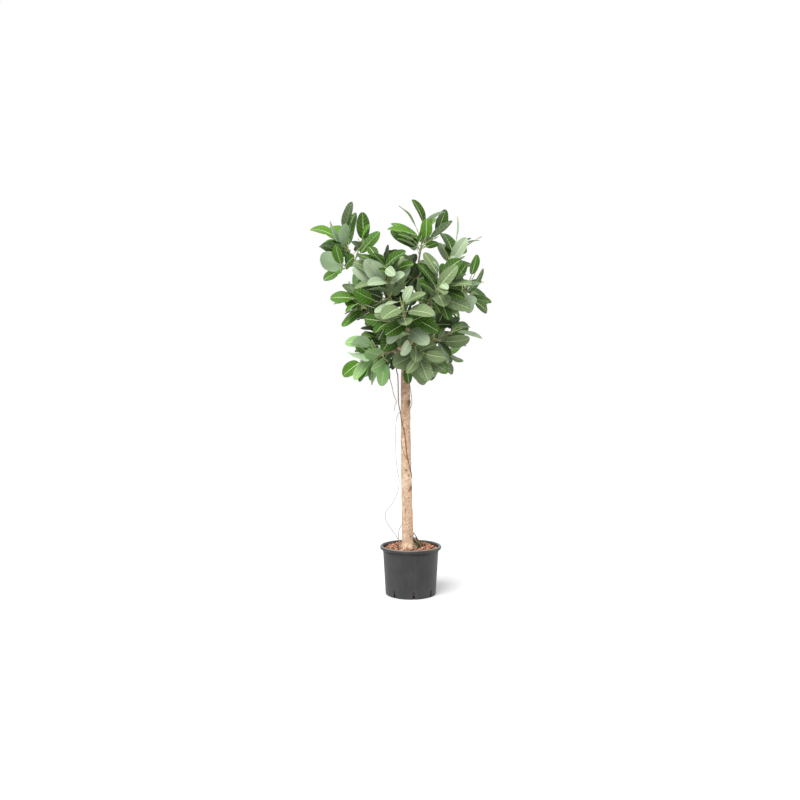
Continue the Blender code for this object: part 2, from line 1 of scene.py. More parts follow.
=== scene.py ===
import random
from math import copysign, cos, exp, hypot, pi, radians, remainder, sin, tau
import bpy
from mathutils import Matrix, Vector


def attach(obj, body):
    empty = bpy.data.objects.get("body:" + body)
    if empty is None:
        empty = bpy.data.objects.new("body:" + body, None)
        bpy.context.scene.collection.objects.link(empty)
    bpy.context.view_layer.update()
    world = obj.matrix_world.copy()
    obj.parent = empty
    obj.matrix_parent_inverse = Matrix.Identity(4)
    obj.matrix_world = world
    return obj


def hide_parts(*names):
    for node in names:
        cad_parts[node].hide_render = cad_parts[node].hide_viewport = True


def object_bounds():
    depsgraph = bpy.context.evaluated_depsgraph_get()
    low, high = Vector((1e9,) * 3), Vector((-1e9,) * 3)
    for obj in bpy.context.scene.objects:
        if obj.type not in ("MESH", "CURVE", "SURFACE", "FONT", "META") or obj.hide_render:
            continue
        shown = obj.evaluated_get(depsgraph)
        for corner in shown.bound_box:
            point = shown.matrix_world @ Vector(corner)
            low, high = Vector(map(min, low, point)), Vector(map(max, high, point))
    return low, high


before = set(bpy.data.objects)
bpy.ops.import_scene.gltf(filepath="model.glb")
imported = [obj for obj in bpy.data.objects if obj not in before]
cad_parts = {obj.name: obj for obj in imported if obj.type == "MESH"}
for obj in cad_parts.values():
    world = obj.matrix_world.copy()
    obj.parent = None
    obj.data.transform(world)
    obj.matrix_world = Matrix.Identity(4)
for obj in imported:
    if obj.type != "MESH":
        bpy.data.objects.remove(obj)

from types import SimpleNamespace

import bpy
from mathutils import Vector, noise
from mathutils.bvhtree import BVHTree

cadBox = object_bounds()
up = Vector((0, 0, 1))
front = Vector((0, -1, 0))
goldenAngle = radians(137.508)


def blend(low, high, share):
    return low + (high - low) * share


def ramp(value, low, high):
    # the share of the way from low to high, no less than 0 and no more than 1
    return min(1, max(0, (value - low) / (high - low)))


def metres(*values):
    return [value / 1000 for value in values]


# nodes

def maths(operation, swapped=False):
    # an operator that adds its Math node
    def work(self, other):
        first, second = (other, self) if swapped else (self, other)
        return self.maker.node("ShaderNodeMath", {"operation": operation}, {0: first, 1: second})
    return work


class Signal:
    # a socket that can be added, taken away and multiplied, spread over a range, and mix two colours
    def __init__(self, maker, socket):
        self.maker = maker
        self.socket = socket

    __add__ = __radd__ = maths("ADD")
    __mul__ = __rmul__ = maths("MULTIPLY")
    __sub__ = maths("SUBTRACT")
    __rsub__ = maths("SUBTRACT", True)

    def spread(self, low, high, toLow=0, toHigh=1):
        return self.maker.node("ShaderNodeMapRange", {"clamp": True}, {
            "Value": self, "From Min": low, "From Max": high, "To Min": toLow, "To Max": toHigh})

    def between(self, first, second):
        return self.maker.node("ShaderNodeMix", {"data_type": "RGBA"}, {0: self, 6: first, 7: second}, 2)


class Nodes:
    def __init__(self, tree):
        self.tree = tree

    def node(self, kind, settings, inputs, output=0):
        made = self.tree.nodes.new(kind)
        for key, value in settings.items():
            setattr(made, key, value)
        for key, value in inputs.items():
            self.feed(made.inputs[key], value)
        return Signal(self, made.outputs[output]) if made.outputs else made

    def feed(self, socket, value):
        if isinstance(value, Signal):
            self.tree.links.new(value.socket, socket)
        else:
            socket.default_value = (*value, 1) if socket.type == "RGBA" else value


finishes = {}


class Finish(Nodes):
    # a material, by its colour, its roughness and how strongly it reflects
    def __init__(self, name, colour, roughness, gloss=0.5):
        finishes[name] = material = bpy.data.materials.new(name)
        material.use_nodes = True
        material.diffuse_color = (*colour, 1)
        super().__init__(material.node_tree)
        self.paint("Base Color", colour)
        self.paint("Roughness", roughness)
        self.paint("Specular IOR Level", gloss)

    def paint(self, name, value):
        self.feed(self.tree.nodes["Principled BSDF"].inputs[name], value)

    def place(self, stretch=(1, 1, 1)):
        coords = self.node("ShaderNodeTexCoord", {}, {}, "Object")
        return self.node("ShaderNodeMapping", {}, {"Vector": coords, "Scale": stretch})

    def height(self):
        return self.node("ShaderNodeSeparateXYZ", {}, {"Vector": self.place()}, "Z")

    def noise(self, scale, detail, stretch=(1, 1, 1)):
        return self.node("ShaderNodeTexNoise", {}, {
            "Vector": self.place(stretch), "Scale": scale, "Detail": detail})

    def distance(self, point):
        return self.node("ShaderNodeVectorMath", {"operation": "DISTANCE"}, {0: self.place(), 1: point}, 1)

    def bump(self, height, strength, distance):
        self.paint("Normal", self.node("ShaderNodeBump", {}, {
            "Height": height, "Strength": strength, "Distance": distance}))


class Shape(Nodes):
    # a geometry tree with named inputs
    def __init__(self, name, **kinds):
        super().__init__(bpy.data.node_groups.new(name, "GeometryNodeTree"))
        self.inputs = [self.socket(label, "INPUT", kind) for label, kind in (
            ("Geometry", "Geometry"), *kinds.items(), ("Finish", "Material"))]
        self.socket("Geometry", "OUTPUT", "Geometry")
        given = self.tree.nodes.new("NodeGroupInput").outputs
        self.given = {item.name: Signal(self, given[item.name]) for item in self.inputs}

    def socket(self, label, way, kind):
        return self.tree.interface.new_socket(label, in_out=way, socket_type="NodeSocket" + kind)

    def step(self, kind, inputs):
        return self.node("GeometryNode" + kind, {}, inputs)

    def close(self, geometry):
        real = self.step("RealizeInstances", {"Geometry": geometry})
        painted = self.step("SetMaterial", {"Geometry": real, "Material": self.given["Finish"]})
        self.node("NodeGroupOutput", {}, {"Geometry": painted})

    def made(self, thing, *values):
        # runs the tree on an object and leaves the plain mesh in its place
        modifier = thing.modifiers.new("shape", "NODES")
        modifier.node_group = self.tree
        for item, value in zip(self.inputs[1:], values):
            modifier[item.identifier] = value
        settle(thing)


# plain skins: colour, roughness, grain
skins = dict(
    youngBark=((0.235, 0.2, 0.105), 0.75, 260),
    shootSkin=((0.33, 0.37, 0.165), 0.6, 240),
    stalkSkin=((0.37, 0.43, 0.18), 0.5, 300),
    budSheath=((0.29, 0.37, 0.13), 0.45, 300),
    oldRootSkin=((0.13, 0.066, 0.04), 0.85, 500),
    tangleSkin=((0.05, 0.045, 0.022), 0.9, 500),
    mossSkin=((0.22, 0.2, 0.105), 0.9, 500),
)


def finishOf(name):
    # a plain skin is made when it is first asked for
    if name not in finishes:
        colour, roughness, grain = skins[name]
        plain = Finish(name, colour, roughness, 0.2)
        rough = plain.noise(grain, 3)
        plain.paint("Roughness", rough.spread(0.3, 0.7, roughness - 0.1, roughness + 0.1))
        plain.bump(rough, 0.4, 0.001)
    return finishes[name]


# meshes

def linked(name, data):
    thing = bpy.data.objects.new(name, data)
    bpy.context.scene.collection.objects.link(thing)
    return thing


def objectOf(name, points, faces, edges=()):
    mesh = bpy.data.meshes.new(name)
    mesh.from_pydata([tuple(p) for p in points], edges, faces)
    return linked(name, mesh)


def settle(thing):
    graph = bpy.context.evaluated_depsgraph_get()
    mesh = bpy.data.meshes.new_from_object(thing.evaluated_get(graph))
    thing.modifiers.clear()
    thing.data = mesh


def dress(thing, replaced=(), smooth=60):
    thing.data.shade_smooth()
    thing.data.set_sharp_from_angle(angle=radians(smooth))
    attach(thing, "root")
    if replaced:
        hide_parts(*replaced)


def joined(parts):
    # points, faces and the finish of each face, of several skins as one
    points, faces, marks = [], [], []
    for more, corners, finish in parts:
        first = len(points)
        faces += [[first + i for i in face] for face in corners]
        points += more
        marks += finish
    return points, faces, marks


def piece(name, parts, looks, replaced=(), smooth=60):
    points, faces, marks = joined(parts)
    thing = objectOf(name, points, faces)
    for look in looks:
        thing.data.materials.append(finishOf(look))
    thing.data.polygons.foreach_set("material_index", marks)
    dress(thing, replaced, smooth)


def lofted(rings):
    # a closed skin over rings of equal counts; a ring of one point is a tip
    points, faces, starts = [], [], []
    for ring in rings:
        starts.append(len(points))
        points += ring
    for lower, upper, a, b in zip(rings, rings[1:], starts, starts[1:]):
        below, above = len(lower), len(upper)
        for i in range(max(below, above)):
            corners = (a + i % below, a + (i + 1) % below, b + (i + 1) % above, b + i % above)
            faces.append(tuple(dict.fromkeys(corners)))
    for ring, start, way in ((rings[0], starts[0], -1), (rings[-1], starts[-1], 1)):
        if len(ring) > 1:
            faces.append(tuple(range(start, start + len(ring)))[::way])
    return points, faces, [0] * len(faces)


# directions and routes

def outward(turn):
    return Vector((cos(turn), sin(turn), 0))


def turned(first, second, turn):
    # the first direction, turned towards the second
    return first * cos(turn) + second * sin(turn)


def around(count):
    return [tau * i / count for i in range(count)]


def across(direction, near):
    # two directions square to a third, the first as close to near as it can be
    first = near - direction * near.dot(direction)
    if first.length < 1e-6:
        first = direction.orthogonal()
    first.normalize()
    return first, direction.cross(first)


def bezier(a, b, c, d, count):
    found = []
    for t in tapering(0, 1, count):
        u = 1 - t
        point = a * u**3 + b * (3 * u * u * t) + c * (3 * u * t * t) + d * t**3
        heading = (b - a) * (u * u) + (c - b) * (2 * u * t) + (d - c) * (t * t)
        found.append((point, heading.normalized()))
    return found


def bent(start, leave, end, arrive, span, count, ease=0.3):
    return bezier(start, start + leave * span * 0.4, end - arrive * span * ease, end, count)


def sprig(start, along, way, span, count):
    # leaves its parent half along it and ends its own way
    return bent(start, (along + way).normalized(), start + way * span, way, span, count)


def smoothRoute(stops, count):
    ends = [stops[0] * 2 - stops[1], *stops, stops[-1] * 2 - stops[-2]]
    spans = len(stops) - 1
    found = []
    for share in tapering(0, 1, count):
        k = min(int(share * spans), spans - 1)
        t = share * spans - k
        a, b, c, d = ends[k:k + 4]
        second, third = a * 2 - b * 5 + c * 4 - d, b * 3 - a - c * 3 + d
        point = (b * 2 + (c - a) * t + second * t**2 + third * t**3) * 0.5
        heading = (c - a) + second * (2 * t) + third * (3 * t**2)
        found.append((point, heading.normalized()))
    return found


def tube(path, radii, sides, near=up):
    rings = []
    for (point, heading), radius in zip(path, radii):
        near, other = across(heading, near)
        rings.append([point + turned(near, other, turn) * radius for turn in around(sides)])
    return rings


def tapering(start, end, count):
    return [start + (end - start) * i / (count - 1) for i in range(count)]


def tapered(path, start, end):
    return path, tapering(start, end, len(path))


def lengthOf(path):
    return sum((b[0] - a[0]).length for a, b in zip(path, path[1:]))


def pointOn(path, share):
    left = share * lengthOf(path)
    for (a, heading), (b, after) in zip(path, path[1:]):
        length = (b - a).length
        if left <= length:
            t = left / length
            return a.lerp(b, t), heading.lerp(after, t).normalized()
        left -= length
    return path[-1]


# limbs that follow a path: a geometry tree gives each line of edges its round, slightly uneven skin

# finish, slot, sides, unevenness and its grain
limbLooks = dict(
    stalks=("stalkSkin", "leaves", 6, 0.0001, 300.0),
    massStems=("youngBark", "bark", 9, 0.001, 150.0),
    shoots=("shootSkin", "bark", 7, 0.0006, 200.0),
    boughBark=("bark", "bark", 14, 0.0018, 110.0),
    toes=("bark", "bark", 22, 0.0012, 90.0),
    thinRoots=("rootSkin", "aerial_root", 7, 0.0008, 170.0),
    thickRoots=("oldRootSkin", "aerial_root", 8, 0.0009, 150.0),
    rootlets=("oldRootSkin", "aerial_root", 5, 0.0006, 400.0),
    rootTangle=("tangleSkin", "aerial_root", 5, 0.001, 400.0),
    rootTangleFront=("mossSkin", "aerial_root", 5, 0.001, 400.0),
)


def limbShape():
    shape = Shape("limbs", Sides="Int", Unevenness="Float", Grain="Float")
    given = shape.given
    line = shape.step("MeshToCurve", {"Mesh": given["Geometry"]})
    ring = shape.step("CurvePrimitiveCircle", {"Resolution": given["Sides"], "Radius": 1})
    radius = shape.step("InputRadius", {})
    skin = shape.step("CurveToMesh", {
        "Curve": line, "Profile Curve": ring, "Scale": radius, "Fill Caps": True})
    grain = shape.node("ShaderNodeTexNoise", {}, {"Scale": given["Grain"], "Detail": 2})
    offset = shape.node("ShaderNodeVectorMath", {"operation": "SCALE"}, {
        0: shape.step("InputNormal", {}), "Scale": (grain - 0.5) * given["Unevenness"]})
    shape.close(shape.step("SetPosition", {"Geometry": skin, "Offset": offset}))
    return shape


limbs = limbShape()


def limbPiece(name, routes, replaced=()):
    look, slot, *numbers = limbLooks[name]
    points, edges, radii = [], [], []
    for path, thickness in routes:
        first = len(points)
        points += [point for point, _ in path]
        edges += [(i, i + 1) for i in range(first, len(points) - 1)]
        radii += thickness
    thing = objectOf(name, points, [], edges)
    thing.data.attributes.new("radius", "FLOAT", "POINT").data.foreach_set("value", radii)
    limbs.made(thing, *numbers, finishOf(look))
    dress(thing, replaced)


# camera, lights and floor

studio = dict(
    cameraPlace=(-0.049, -3.4, 0.885), lens=33.4, sensor=36,
    floorHalf=30, floorColour=(0.62, 0.62, 0.62),
    skyColour=(1, 1, 1), skyStrength=1,
    aim=(0, 0, 1.1),  # what both lights shine on
    # name, kind, place, settings
    lights=(
        ("keyLight", "SUN", (-1.6, -2.6, 4.2), {"energy": 4.4, "angle": radians(46)}),
        ("fillLight", "AREA", (3.6, 0.3, 1.4), {"energy": 45, "size": 2}),
    ),
)


def setStudio():
    scene = bpy.context.scene
    scene.view_settings.view_transform = "Standard"
    lens = bpy.data.cameras.new("camera")
    lens.lens = studio["lens"]
    lens.sensor_width = studio["sensor"]
    scene.camera = linked("camera", lens)
    scene.camera.location = studio["cameraPlace"]
    scene.camera.rotation_euler = (pi / 2, 0, 0)
    for name, kind, place, settings in studio["lights"]:
        lamp = bpy.data.lights.new(name, kind)
        for key, value in settings.items():
            setattr(lamp, key, value)
        thing = linked(name, lamp)
        thing.location = place
        aim = Vector(studio["aim"]) - thing.location
        thing.rotation_euler = aim.to_track_quat("-Z", "Y").to_euler()
    scene.world = bpy.data.worlds.new("sky")
    scene.world.use_nodes = True
    sky = scene.world.node_tree.nodes["Background"].inputs
    sky["Color"].default_value = (*studio["skyColour"], 1)
    sky["Strength"].default_value = studio["skyStrength"]
    half = studio["floorHalf"]
    corners = [(-half, -half, 0), (half, -half, 0), (half, half, 0), (-half, half, 0)]
    floor = objectOf("floor", corners, [(0, 1, 2, 3)])
    Finish("floorPaint", studio["floorColour"], 0.9)
    floor.data.materials.append(finishOf("floorPaint"))


setStudio()
print("studio ready")


# the pot: a moulded nursery container with a rolled rim, a bead under it and drain slots

pot = dict(
    height=0.221, wall=0.0022, sides=160,
    rimRadius=0.14, rimHeight=0.016, rimRoll=0.4, topRadius=0.128,
    footRadius=0.1145, footRound=0.004, floorTop=0.0062,
    slotCount=8, slotWidth=0.008, slotHeight=0.033, slotReach=(0.1025, 0.1345), slotTurn=radians(-84),
    colour=(0.02, 0.0203, 0.0215), dust=(0.048, 0.047, 0.045),
    # the pale rim colour is a painted highlight round the rim's top; the near-black inside colour is painted
    # shade on the inner wall
    rimHighlight=(0.19, 0.196, 0.165), inside=(0.006, 0.0055, 0.0045),
)


def wallRadius(height):
    return pot["footRadius"] + (pot["topRadius"] - pot["footRadius"]) * height / pot["height"]


def arc(centreX, centreZ, radius, start, end, count):
    turns = [radians(turn) for turn in tapering(start, end, count)]
    return [(centreX + radius * cos(t), centreZ + radius * sin(t)) for t in turns]


def potProfile():
    # radius and height, from the middle of the underside out, up, over the rim and down the inside
    foot, footRound, floorTop = pot["footRadius"], pot["footRound"], pot["floorTop"]
    top, wall = pot["height"], pot["wall"]
    low = top - pot["rimHeight"]
    roll = pot["rimHeight"] * pot["rimRoll"]
    rolled = pot["rimRadius"] - roll
    inner = pot["topRadius"] - wall
    return [
        (0, 0.004), (foot - 0.022, 0.004), (foot - 0.02, 0.0004), (foot - 0.016, 0),
        *arc(foot - footRound, footRound, footRound, -90, -5, 6),
        *((wallRadius(z), z) for z in (0.02, 0.06, 0.1, 0.14, 0.18, low - 0.0105)),
        *arc(wallRadius(low - 0.0085), low - 0.0085, 0.0019, -60, 60, 5),  # the bead
        (wallRadius(low - 0.005), low - 0.005), (wallRadius(low), low - 0.001), (rolled, low),
        *arc(rolled, low + roll, roll, -80, 0, 6),
        *arc(rolled, top - roll, roll, 0, 100, 8),
        (inner + 0.006, top - 0.0012), (inner + 0.002, top - 0.004), (inner - 0.0003, top - 0.01),
        *((wallRadius(z) - wall, z) for z in (0.18, 0.1, 0.02)),
        (wallRadius(0.006) - wall - 0.002, floorTop), (0, floorTop),
    ]


def spun(profile, sides):
    rings = []
    for radius, height in profile:
        turns = around(sides) if radius else [0]
        rings.append([Vector((radius * cos(t), radius * sin(t), height)) for t in turns])
    return lofted(rings)


def slotCutters():
    # round-topped blocks through the lower edge
    half = pot["slotWidth"] / 2
    top = pot["slotHeight"] - half
    outline = [(-half, -0.02), (half, -0.02), (half, top), *arc(0, top, half, 20, 160, 8), (-half, top)]
    blocks = []
    for turn in around(pot["slotCount"]):
        out = outward(pot["slotTurn"] + turn)
        sideways = up.cross(out)
        blocks.append(lofted([[out * reach + sideways * x + up * z for x, z in outline]
                              for reach in pot["slotReach"]]))
    return objectOf("slotCutters", *joined(blocks)[:2])


def potFinishes():
    plastic = Finish("potPlastic", pot["colour"], 0.42, 0.32)
    grain = plastic.noise(900, 2)
    clouds = plastic.noise(16, 4)
    streaks = plastic.noise(7, 3, (9, 9, 0.9))
    lowDust = plastic.height().spread(0, 0.05, 0.55, 0)
    dust = (clouds + streaks * 0.8).spread(0.75, 1.25, 0, 0.42) + lowDust * clouds
    # a paler band round the rim's top: a painted highlight along the rim's edge
    rimHighlight = (plastic.height() + clouds * 0.002).spread(0.2185, 0.2215, 0, 0.8)
    plastic.paint("Base Color", rimHighlight.between(dust.between(pot["colour"], pot["dust"]), pot["rimHighlight"]))
    plastic.paint("Roughness", (clouds + grain * 0.3).spread(0.3, 1, 0.34, 0.58))
    plastic.bump(grain * 0.25 + clouds * 0.4 + streaks * 0.35, 0.18, 0.0012)
    # the inside is painted near black, as painted shade on the inner wall; its noise sets only roughness and
    # bumps
    insideShade = Finish("potInside", pot["inside"], 0.8, 0.15)
    film = insideShade.noise(40, 3)
    insideShade.paint("Roughness", film.spread(0.3, 0.7, 0.65, 0.9))
    insideShade.bump(film, 0.3, 0.001)


def makePot():
    shell = objectOf("potShell", *spun(potProfile(), pot["sides"])[:2])
    cutter = slotCutters()
    cut = shell.modifiers.new("slots", "BOOLEAN")
    cut.operation = "DIFFERENCE"
    cut.solver = "EXACT"
    cut.object = cutter
    settle(shell)
    bpy.data.objects.remove(cutter)
    potFinishes()
    for name in ("potPlastic", "potInside"):
        shell.data.materials.append(finishOf(name))
    for face in shell.data.polygons:
        x, y, z = face.center
        # faces inside the wall get the painted shade
        inside = hypot(x, y) < wallRadius(z) - pot["wall"] / 2 and z > pot["floorTop"] * 0.8
        face.material_index = int(inside)
    dress(shell, ("pot",), 38)


makePot()
print("pot made")


# the stem, by the source's measures

stem = dict(
    mixLevel=0.204, gap=0.0003, fork=1.215, footX=-0.0114, bow=-0.0125, bowWave=0.7,
    radii=(0.0258, 0.019), taperStart=0.3,
    flare=0.0085, flareFade=0.024, toes=5, toeDepth=0.0035, toeTurn=radians(-112),
    sides=14, rings=17, ringEase=1.4, knotSharp=2.5,
    # scars of cut side shoots: height, azimuth, how far they stand out, half their height
    knots=((0.876, -30, 0.004, 0.016), (0.59, 35, 0.0035, 0.012), (0.485, -38, 0.0035, 0.012),
           (0.7, 150, 0.003, 0.013), (0.395, 95, 0.003, 0.012)),
)
mixLevel, fork = stem["mixLevel"], stem["fork"]


def stemAxis(height):
    share = (height - mixLevel) / (fork - mixLevel)
    return Vector((stem["footX"] + stem["bow"] * sin(stem["bowWave"] * pi * share), 0, height))


def apart(rise, turn, radius):
    # the distance between two places on a stem of that radius
    return hypot(rise, remainder(turn, tau) * radius)


def stemRadius(height, turn):
    radius = blend(*stem["radii"], ramp(height, stem["taperStart"], fork))
    toe = stem["toeDepth"] * cos(stem["toes"] * (turn - stem["toeTurn"]))
    radius += exp(-(height - mixLevel) / stem["flareFade"]) * (stem["flare"] + toe)
    for knotHeight, knotTurn, stand, half in stem["knots"]:
        distance = apart(height - knotHeight, turn - radians(knotTurn), radius) / half
        radius += stand * exp(-stem["knotSharp"] * distance * distance)
    return radius


def onStem(height, turn, off=0):
    return stemAxis(height) + outward(turn) * (stemRadius(height, turn) + off)


# the crown grows by the source's rule: on each bough a mass of foliage, in a space of its own

crown = dict(
    hub=Vector((-0.024, 0, 1.12)), middle=Vector((-0.03, 0, 1.3)),
    margin=0.0025, clearance=0.0015, tries=14,
)
heart = crown["middle"]

boughs = dict(
    lowest=1.025, highest=1.188, radius=0.007, tipRadius=0.0045, leaderRadius=0.012,
    rise=0.55, endInside=0.75, endShort=0.62, sides=6, rings=5,
)

shoots = dict(
    stemEnd=0.85, stemRise=0.4, stemSides=5,
    places=(0.3, 0.99), span=(0.36, 0.58), radii=(0.0028, 0.0014), sides=3, rings=3,
    spread=radians(82), spreadStray=0.2, spreadFade=0.7, rise=0.22,
)

leaves = dict(
    length=0.15, lengthStray=(0.86, 1.14), width=(0.46, 0.66), thickness=0.014,
    stations=(0.1, 0.42, 0.78), shift=0.9, bluntness=0.48, droop=(5, 40), cup=(0.05, 0.3),
    opening=radians(30), openingStep=radians(14), openingMost=radians(80), openingStray=radians(8),
    turnStray=0.25, out=0.2, roll=1.1, hang=0.9, hangLeast=0.05, hangTop=1.55,
    # a leaf faces partly along its shoot, out of the crown, to the front and up
    face=(0.8, 0.5, 0.6, 0.25),
    stalkLength=0.03, stalkStray=(0.7, 1.3), stalkRadius=0.001, stalkFree=0.4,
    # down a shoot from its tip: the first leaf, the last one's share of the way, the bare foot
    first=0.004, last=0.9, bare=0.01,
    # the leaves at a shoot's tip are young and small, and each new try strays further and is shorter
    young=0.78, youngStep=0.1, tryStray=0.35, tryShorter=0.015,
)

# middle and reach in millimetres, shoots, size of the leaves, their spacing in millimetres, seed
masses = dict(
    bottom_front=((25, -120, 1075), 155, 5, 0.9, 29, 62),
    left_low=((-188, -80, 1085), 158, 5, 1, 30, 249),
    back_right_low=((105, 155, 1125), 165, 5, 0.95, 27, 436),
    back_left_low=((-120, 165, 1140), 170, 5, 0.95, 27, 114),
    right_low=((190, 0, 1190), 165, 5, 0.85, 33, 338),
    front=((-30, -240, 1235), 180, 7, 0.85, 22, 355),
    back=((0, 240, 1245), 150, 5, 0.95, 27, 348),
    left=((-235, 0, 1345), 150, 5, 0.9, 36, 360),
    front_right=((120, -180, 1360), 175, 6, 0.85, 22, 524),
    back_right=((125, 225, 1375), 180, 5, 1, 27, 64),
    back_left=((-150, 220, 1390), 180, 5, 1, 27, 254),
    right=((272, 0, 1410), 175, 5, 0.95, 42, 474),
    front_left=((-115, -190, 1405), 175, 6, 0.88, 22, 251),
    right_high=((205, 50, 1570), 170, 5, 1, 40, 428),
    upper_left=((-300, 20, 1600), 200, 5, 1.05, 44, 122),
    upper_right=((55, -10, 1640), 175, 5, 1, 36, 222),
    middle=((-30, 40, 1480), 175, 6, 0.9, 22, 414),
)
leader = "middle"

for mass, (centre, reach, count, size, spacing, seed) in masses.items():
    masses[mass] = (Vector(metres(*centre)), *metres(reach), count, size, *metres(spacing), seed)


def boughStart(name):
    if name == leader:
        return stemAxis(fork)
    step = (boughs["highest"] - boughs["lowest"]) / (len(masses) - 2)
    return stemAxis(boughs["lowest"] + step * list(masses).index(name))


def boughPath(name, count=boughs["rings"]):
    centre, reach = masses[name][:2]
    fromHub = centre - crown["hub"]
    arrive = fromHub.normalized()
    foot = centre - arrive * min(boughs["endInside"] * reach, boughs["endShort"] * fromHub.length)
    start = boughStart(name)
    level = Vector((centre.x - start.x, centre.y - start.y, 0)).normalized()
    leave = up if name == leader else (level + up * boughs["rise"]).normalized()
    return bent(start, leave, foot, arrive, (foot - start).length, count, 0.35)


def boughRadii(name, count=boughs["rings"]):
    return tapering(boughs["leaderRadius" if name == leader else "radius"], boughs["tipRadius"], count)


def treeOf(rings):
    points, faces, _ = lofted(rings)
    return BVHTree.FromPolygons([tuple(p) for p in points], faces)


def clashes(tree, others):
    return any(tree.overlap(other) for other in others)


def limbTrees():
    off = crown["clearance"]
    low = mixLevel + stem["gap"]
    heights = [blend(low, fork, share ** stem["ringEase"]) for share in tapering(0, 1, stem["rings"])]
    found = [treeOf([[onStem(height, turn, off) for turn in around(stem["sides"])] for height in heights])]
    for name in masses:
        radii = [radius + off for radius in boughRadii(name)]
        found.append(treeOf(tube(boughPath(name), radii, boughs["sides"])))
    return found


def beyond(point, name):
    # how far a point lies outside the reach of a mass
    centre, reach = masses[name][:2]
    return (point - centre).length - reach


def nearest(point, name, own):
    return all(beyond(point, other) >= own + 2 * crown["margin"] for other in masses if other != name)


def inSpace(point, name):
    own = beyond(point, name)
    return own <= 0 and nearest(point, name, own)


def massStem(name, count=3):
    foot, along = boughPath(name)[-1]
    foot = foot + along * stem["gap"]
    tip = foot.lerp(masses[name][0], shoots["stemEnd"])
    return bent(foot, along, tip, (along + up * shoots["stemRise"]).normalized(), (tip - foot).length, count)


def shootPaths(name, path, rng):
    reach, count = masses[name][1:3]
    roll = rng.uniform(0, tau)
    found = []
    for k in range(count):
        share = k / (count - 1)
        start, along = pointOn(path, blend(*shoots["places"], share))
        out = turned(*across(along, up), roll + k * goldenAngle)
        opening = shoots["spread"] * (1 - share) ** shoots["spreadFade"]
        opening += rng.uniform(0, shoots["spreadStray"])
        way = (turned(along, out, opening) + up * shoots["rise"]).normalized()
        found.append(sprig(start, along, way, reach * rng.uniform(*shoots["span"]), shoots["rings"]))
    return found


def halfWidth(share):
    return sin(pi * share ** leaves["shift"]) ** leaves["bluntness"]


def leafRings(leaf):
    # the source's simple leaf, which every leaf here has to fit by
    above, forward, point = leaf.above, leaf.way, leaf.base
    rings = []
    radius = leaves["stalkRadius"]
    for centre in (leaf.foot, leaf.base):
        spread, top = leaf.side * (radius * 0.87), centre + above * (radius * 0.5)
        rings.append([top - spread, top + spread, centre - above * radius])
    shares = (0, *leaves["stations"], 1)
    for before, share in zip(shares, shares[1:]):
        bend = leaf.droop * (share - before)
        forward, above = turned(forward, above, -bend), turned(above, forward, bend)
        point = point + forward * (leaf.length * (share - before))
        wide = leaf.side * (leaf.length * leaf.width / 2 * halfWidth(share))
        lift = above * (wide.length * leaf.cup)
        keel = above * (leaf.length * leaves["thickness"])
        rings.append([point - wide + lift, point + wide + lift, point - keel + lift * 0.2])
    return rings[:-1] + [[point]]


def fitting(leaf, name, neighbours, room):
    rings = leafRings(leaf)
    if not all(room(point, name) for ring in rings[1:] for point in ring):
        return None
    # the stalk's foot may touch its shoot
    rings[0] = [a.lerp(b, leaves["stalkFree"]) for a, b in zip(*rings[:2])]
    tree = treeOf(rings)
    return None if clashes(tree, neighbours) else tree


def sway(rng, name):
    return rng.uniform(-leaves[name], leaves[name])


def leafTry(foot, heading, order, turn, size, attempt, rng):
    stray = 1 + leaves["tryStray"] * attempt
    turn += sway(rng, "turnStray") * stray
    opening = min(leaves["openingMost"], leaves["opening"] + leaves["openingStep"] * order)
    opening += sway(rng, "openingStray") * stray
    young = min(1, leaves["young"] + leaves["youngStep"] * order)
    away = (foot - heart).normalized()
    hang = leaves["hangLeast"] + leaves["hang"] * max(0, leaves["hangTop"] - foot.z)
    out = turned(*across(heading, up), turn)
    way = turned(heading, out, opening) + away * leaves["out"] - up * hang
    along, outwards, forwards, upwards = leaves["face"]
    face = heading * along + away * outwards + front * forwards + up * upwards
    face += way.cross(away) * sway(rng, "roll")
    way.normalize()
    above, side = across(way, face)
    length = leaves["length"] * size * young * rng.uniform(*leaves["lengthStray"])
    stalk = leaves["stalkLength"] * young * rng.uniform(*leaves["stalkStray"])
    return SimpleNamespace(
        foot=foot, base=foot + way * stalk, way=way, above=above, side=side, order=order, stalk=stalk,
        length=length * (1 - leaves["tryShorter"] * attempt), droop=radians(rng.uniform(*leaves["droop"])),
        cup=rng.uniform(*leaves["cup"]), width=rng.uniform(*leaves["width"]))


def leavesAlong(path, name, neighbours, rng, size, spacing, tries, room):
    length = lengthOf(path)
    roll = rng.uniform(0, tau)
    found = []
    for order in range(int((length - leaves["bare"]) / spacing) + 2):
        down = (leaves["first"] + spacing * order) / length
        foot, heading = pointOn(path, 1 - min(leaves["last"], down))
        for attempt in range(tries):
            leaf = leafTry(foot, heading, order, roll + order * goldenAngle, size, attempt, rng)
            tree = fitting(leaf, name, neighbours, room)
            if tree:
                neighbours.append(tree)
                found.append(leaf)
                break
    return found


def grow(name, stiff):
    size, spacing, seed = masses[name][3:]
    rng = random.Random(seed)
    path = massStem(name)
    radii = tapering(*shoots["radii"], shoots["rings"])
    skin = tube(*tapered(path, boughs["tipRadius"], radii[0]), shoots["stemSides"])
    neighbours = [*stiff, treeOf(skin)]
    grown = []
    for shoot in shootPaths(name, path, rng):
        free = treeOf(tube(shoot[1:], radii[1:], shoots["sides"]))
        if all(inSpace(point, name) for point, _ in shoot[1:]) and not clashes(free, stiff):
            grown.append(shoot)
            neighbours.append(free)
    sprays = [leavesAlong(shoot, name, neighbours, rng, size, spacing, crown["tries"], inSpace)
              for shoot in grown]
    return grown, sprays, *finerGrowth(name, path, grown, neighbours)


# finer twigs with smaller leaves, inside the same space and on into the heart of the crown

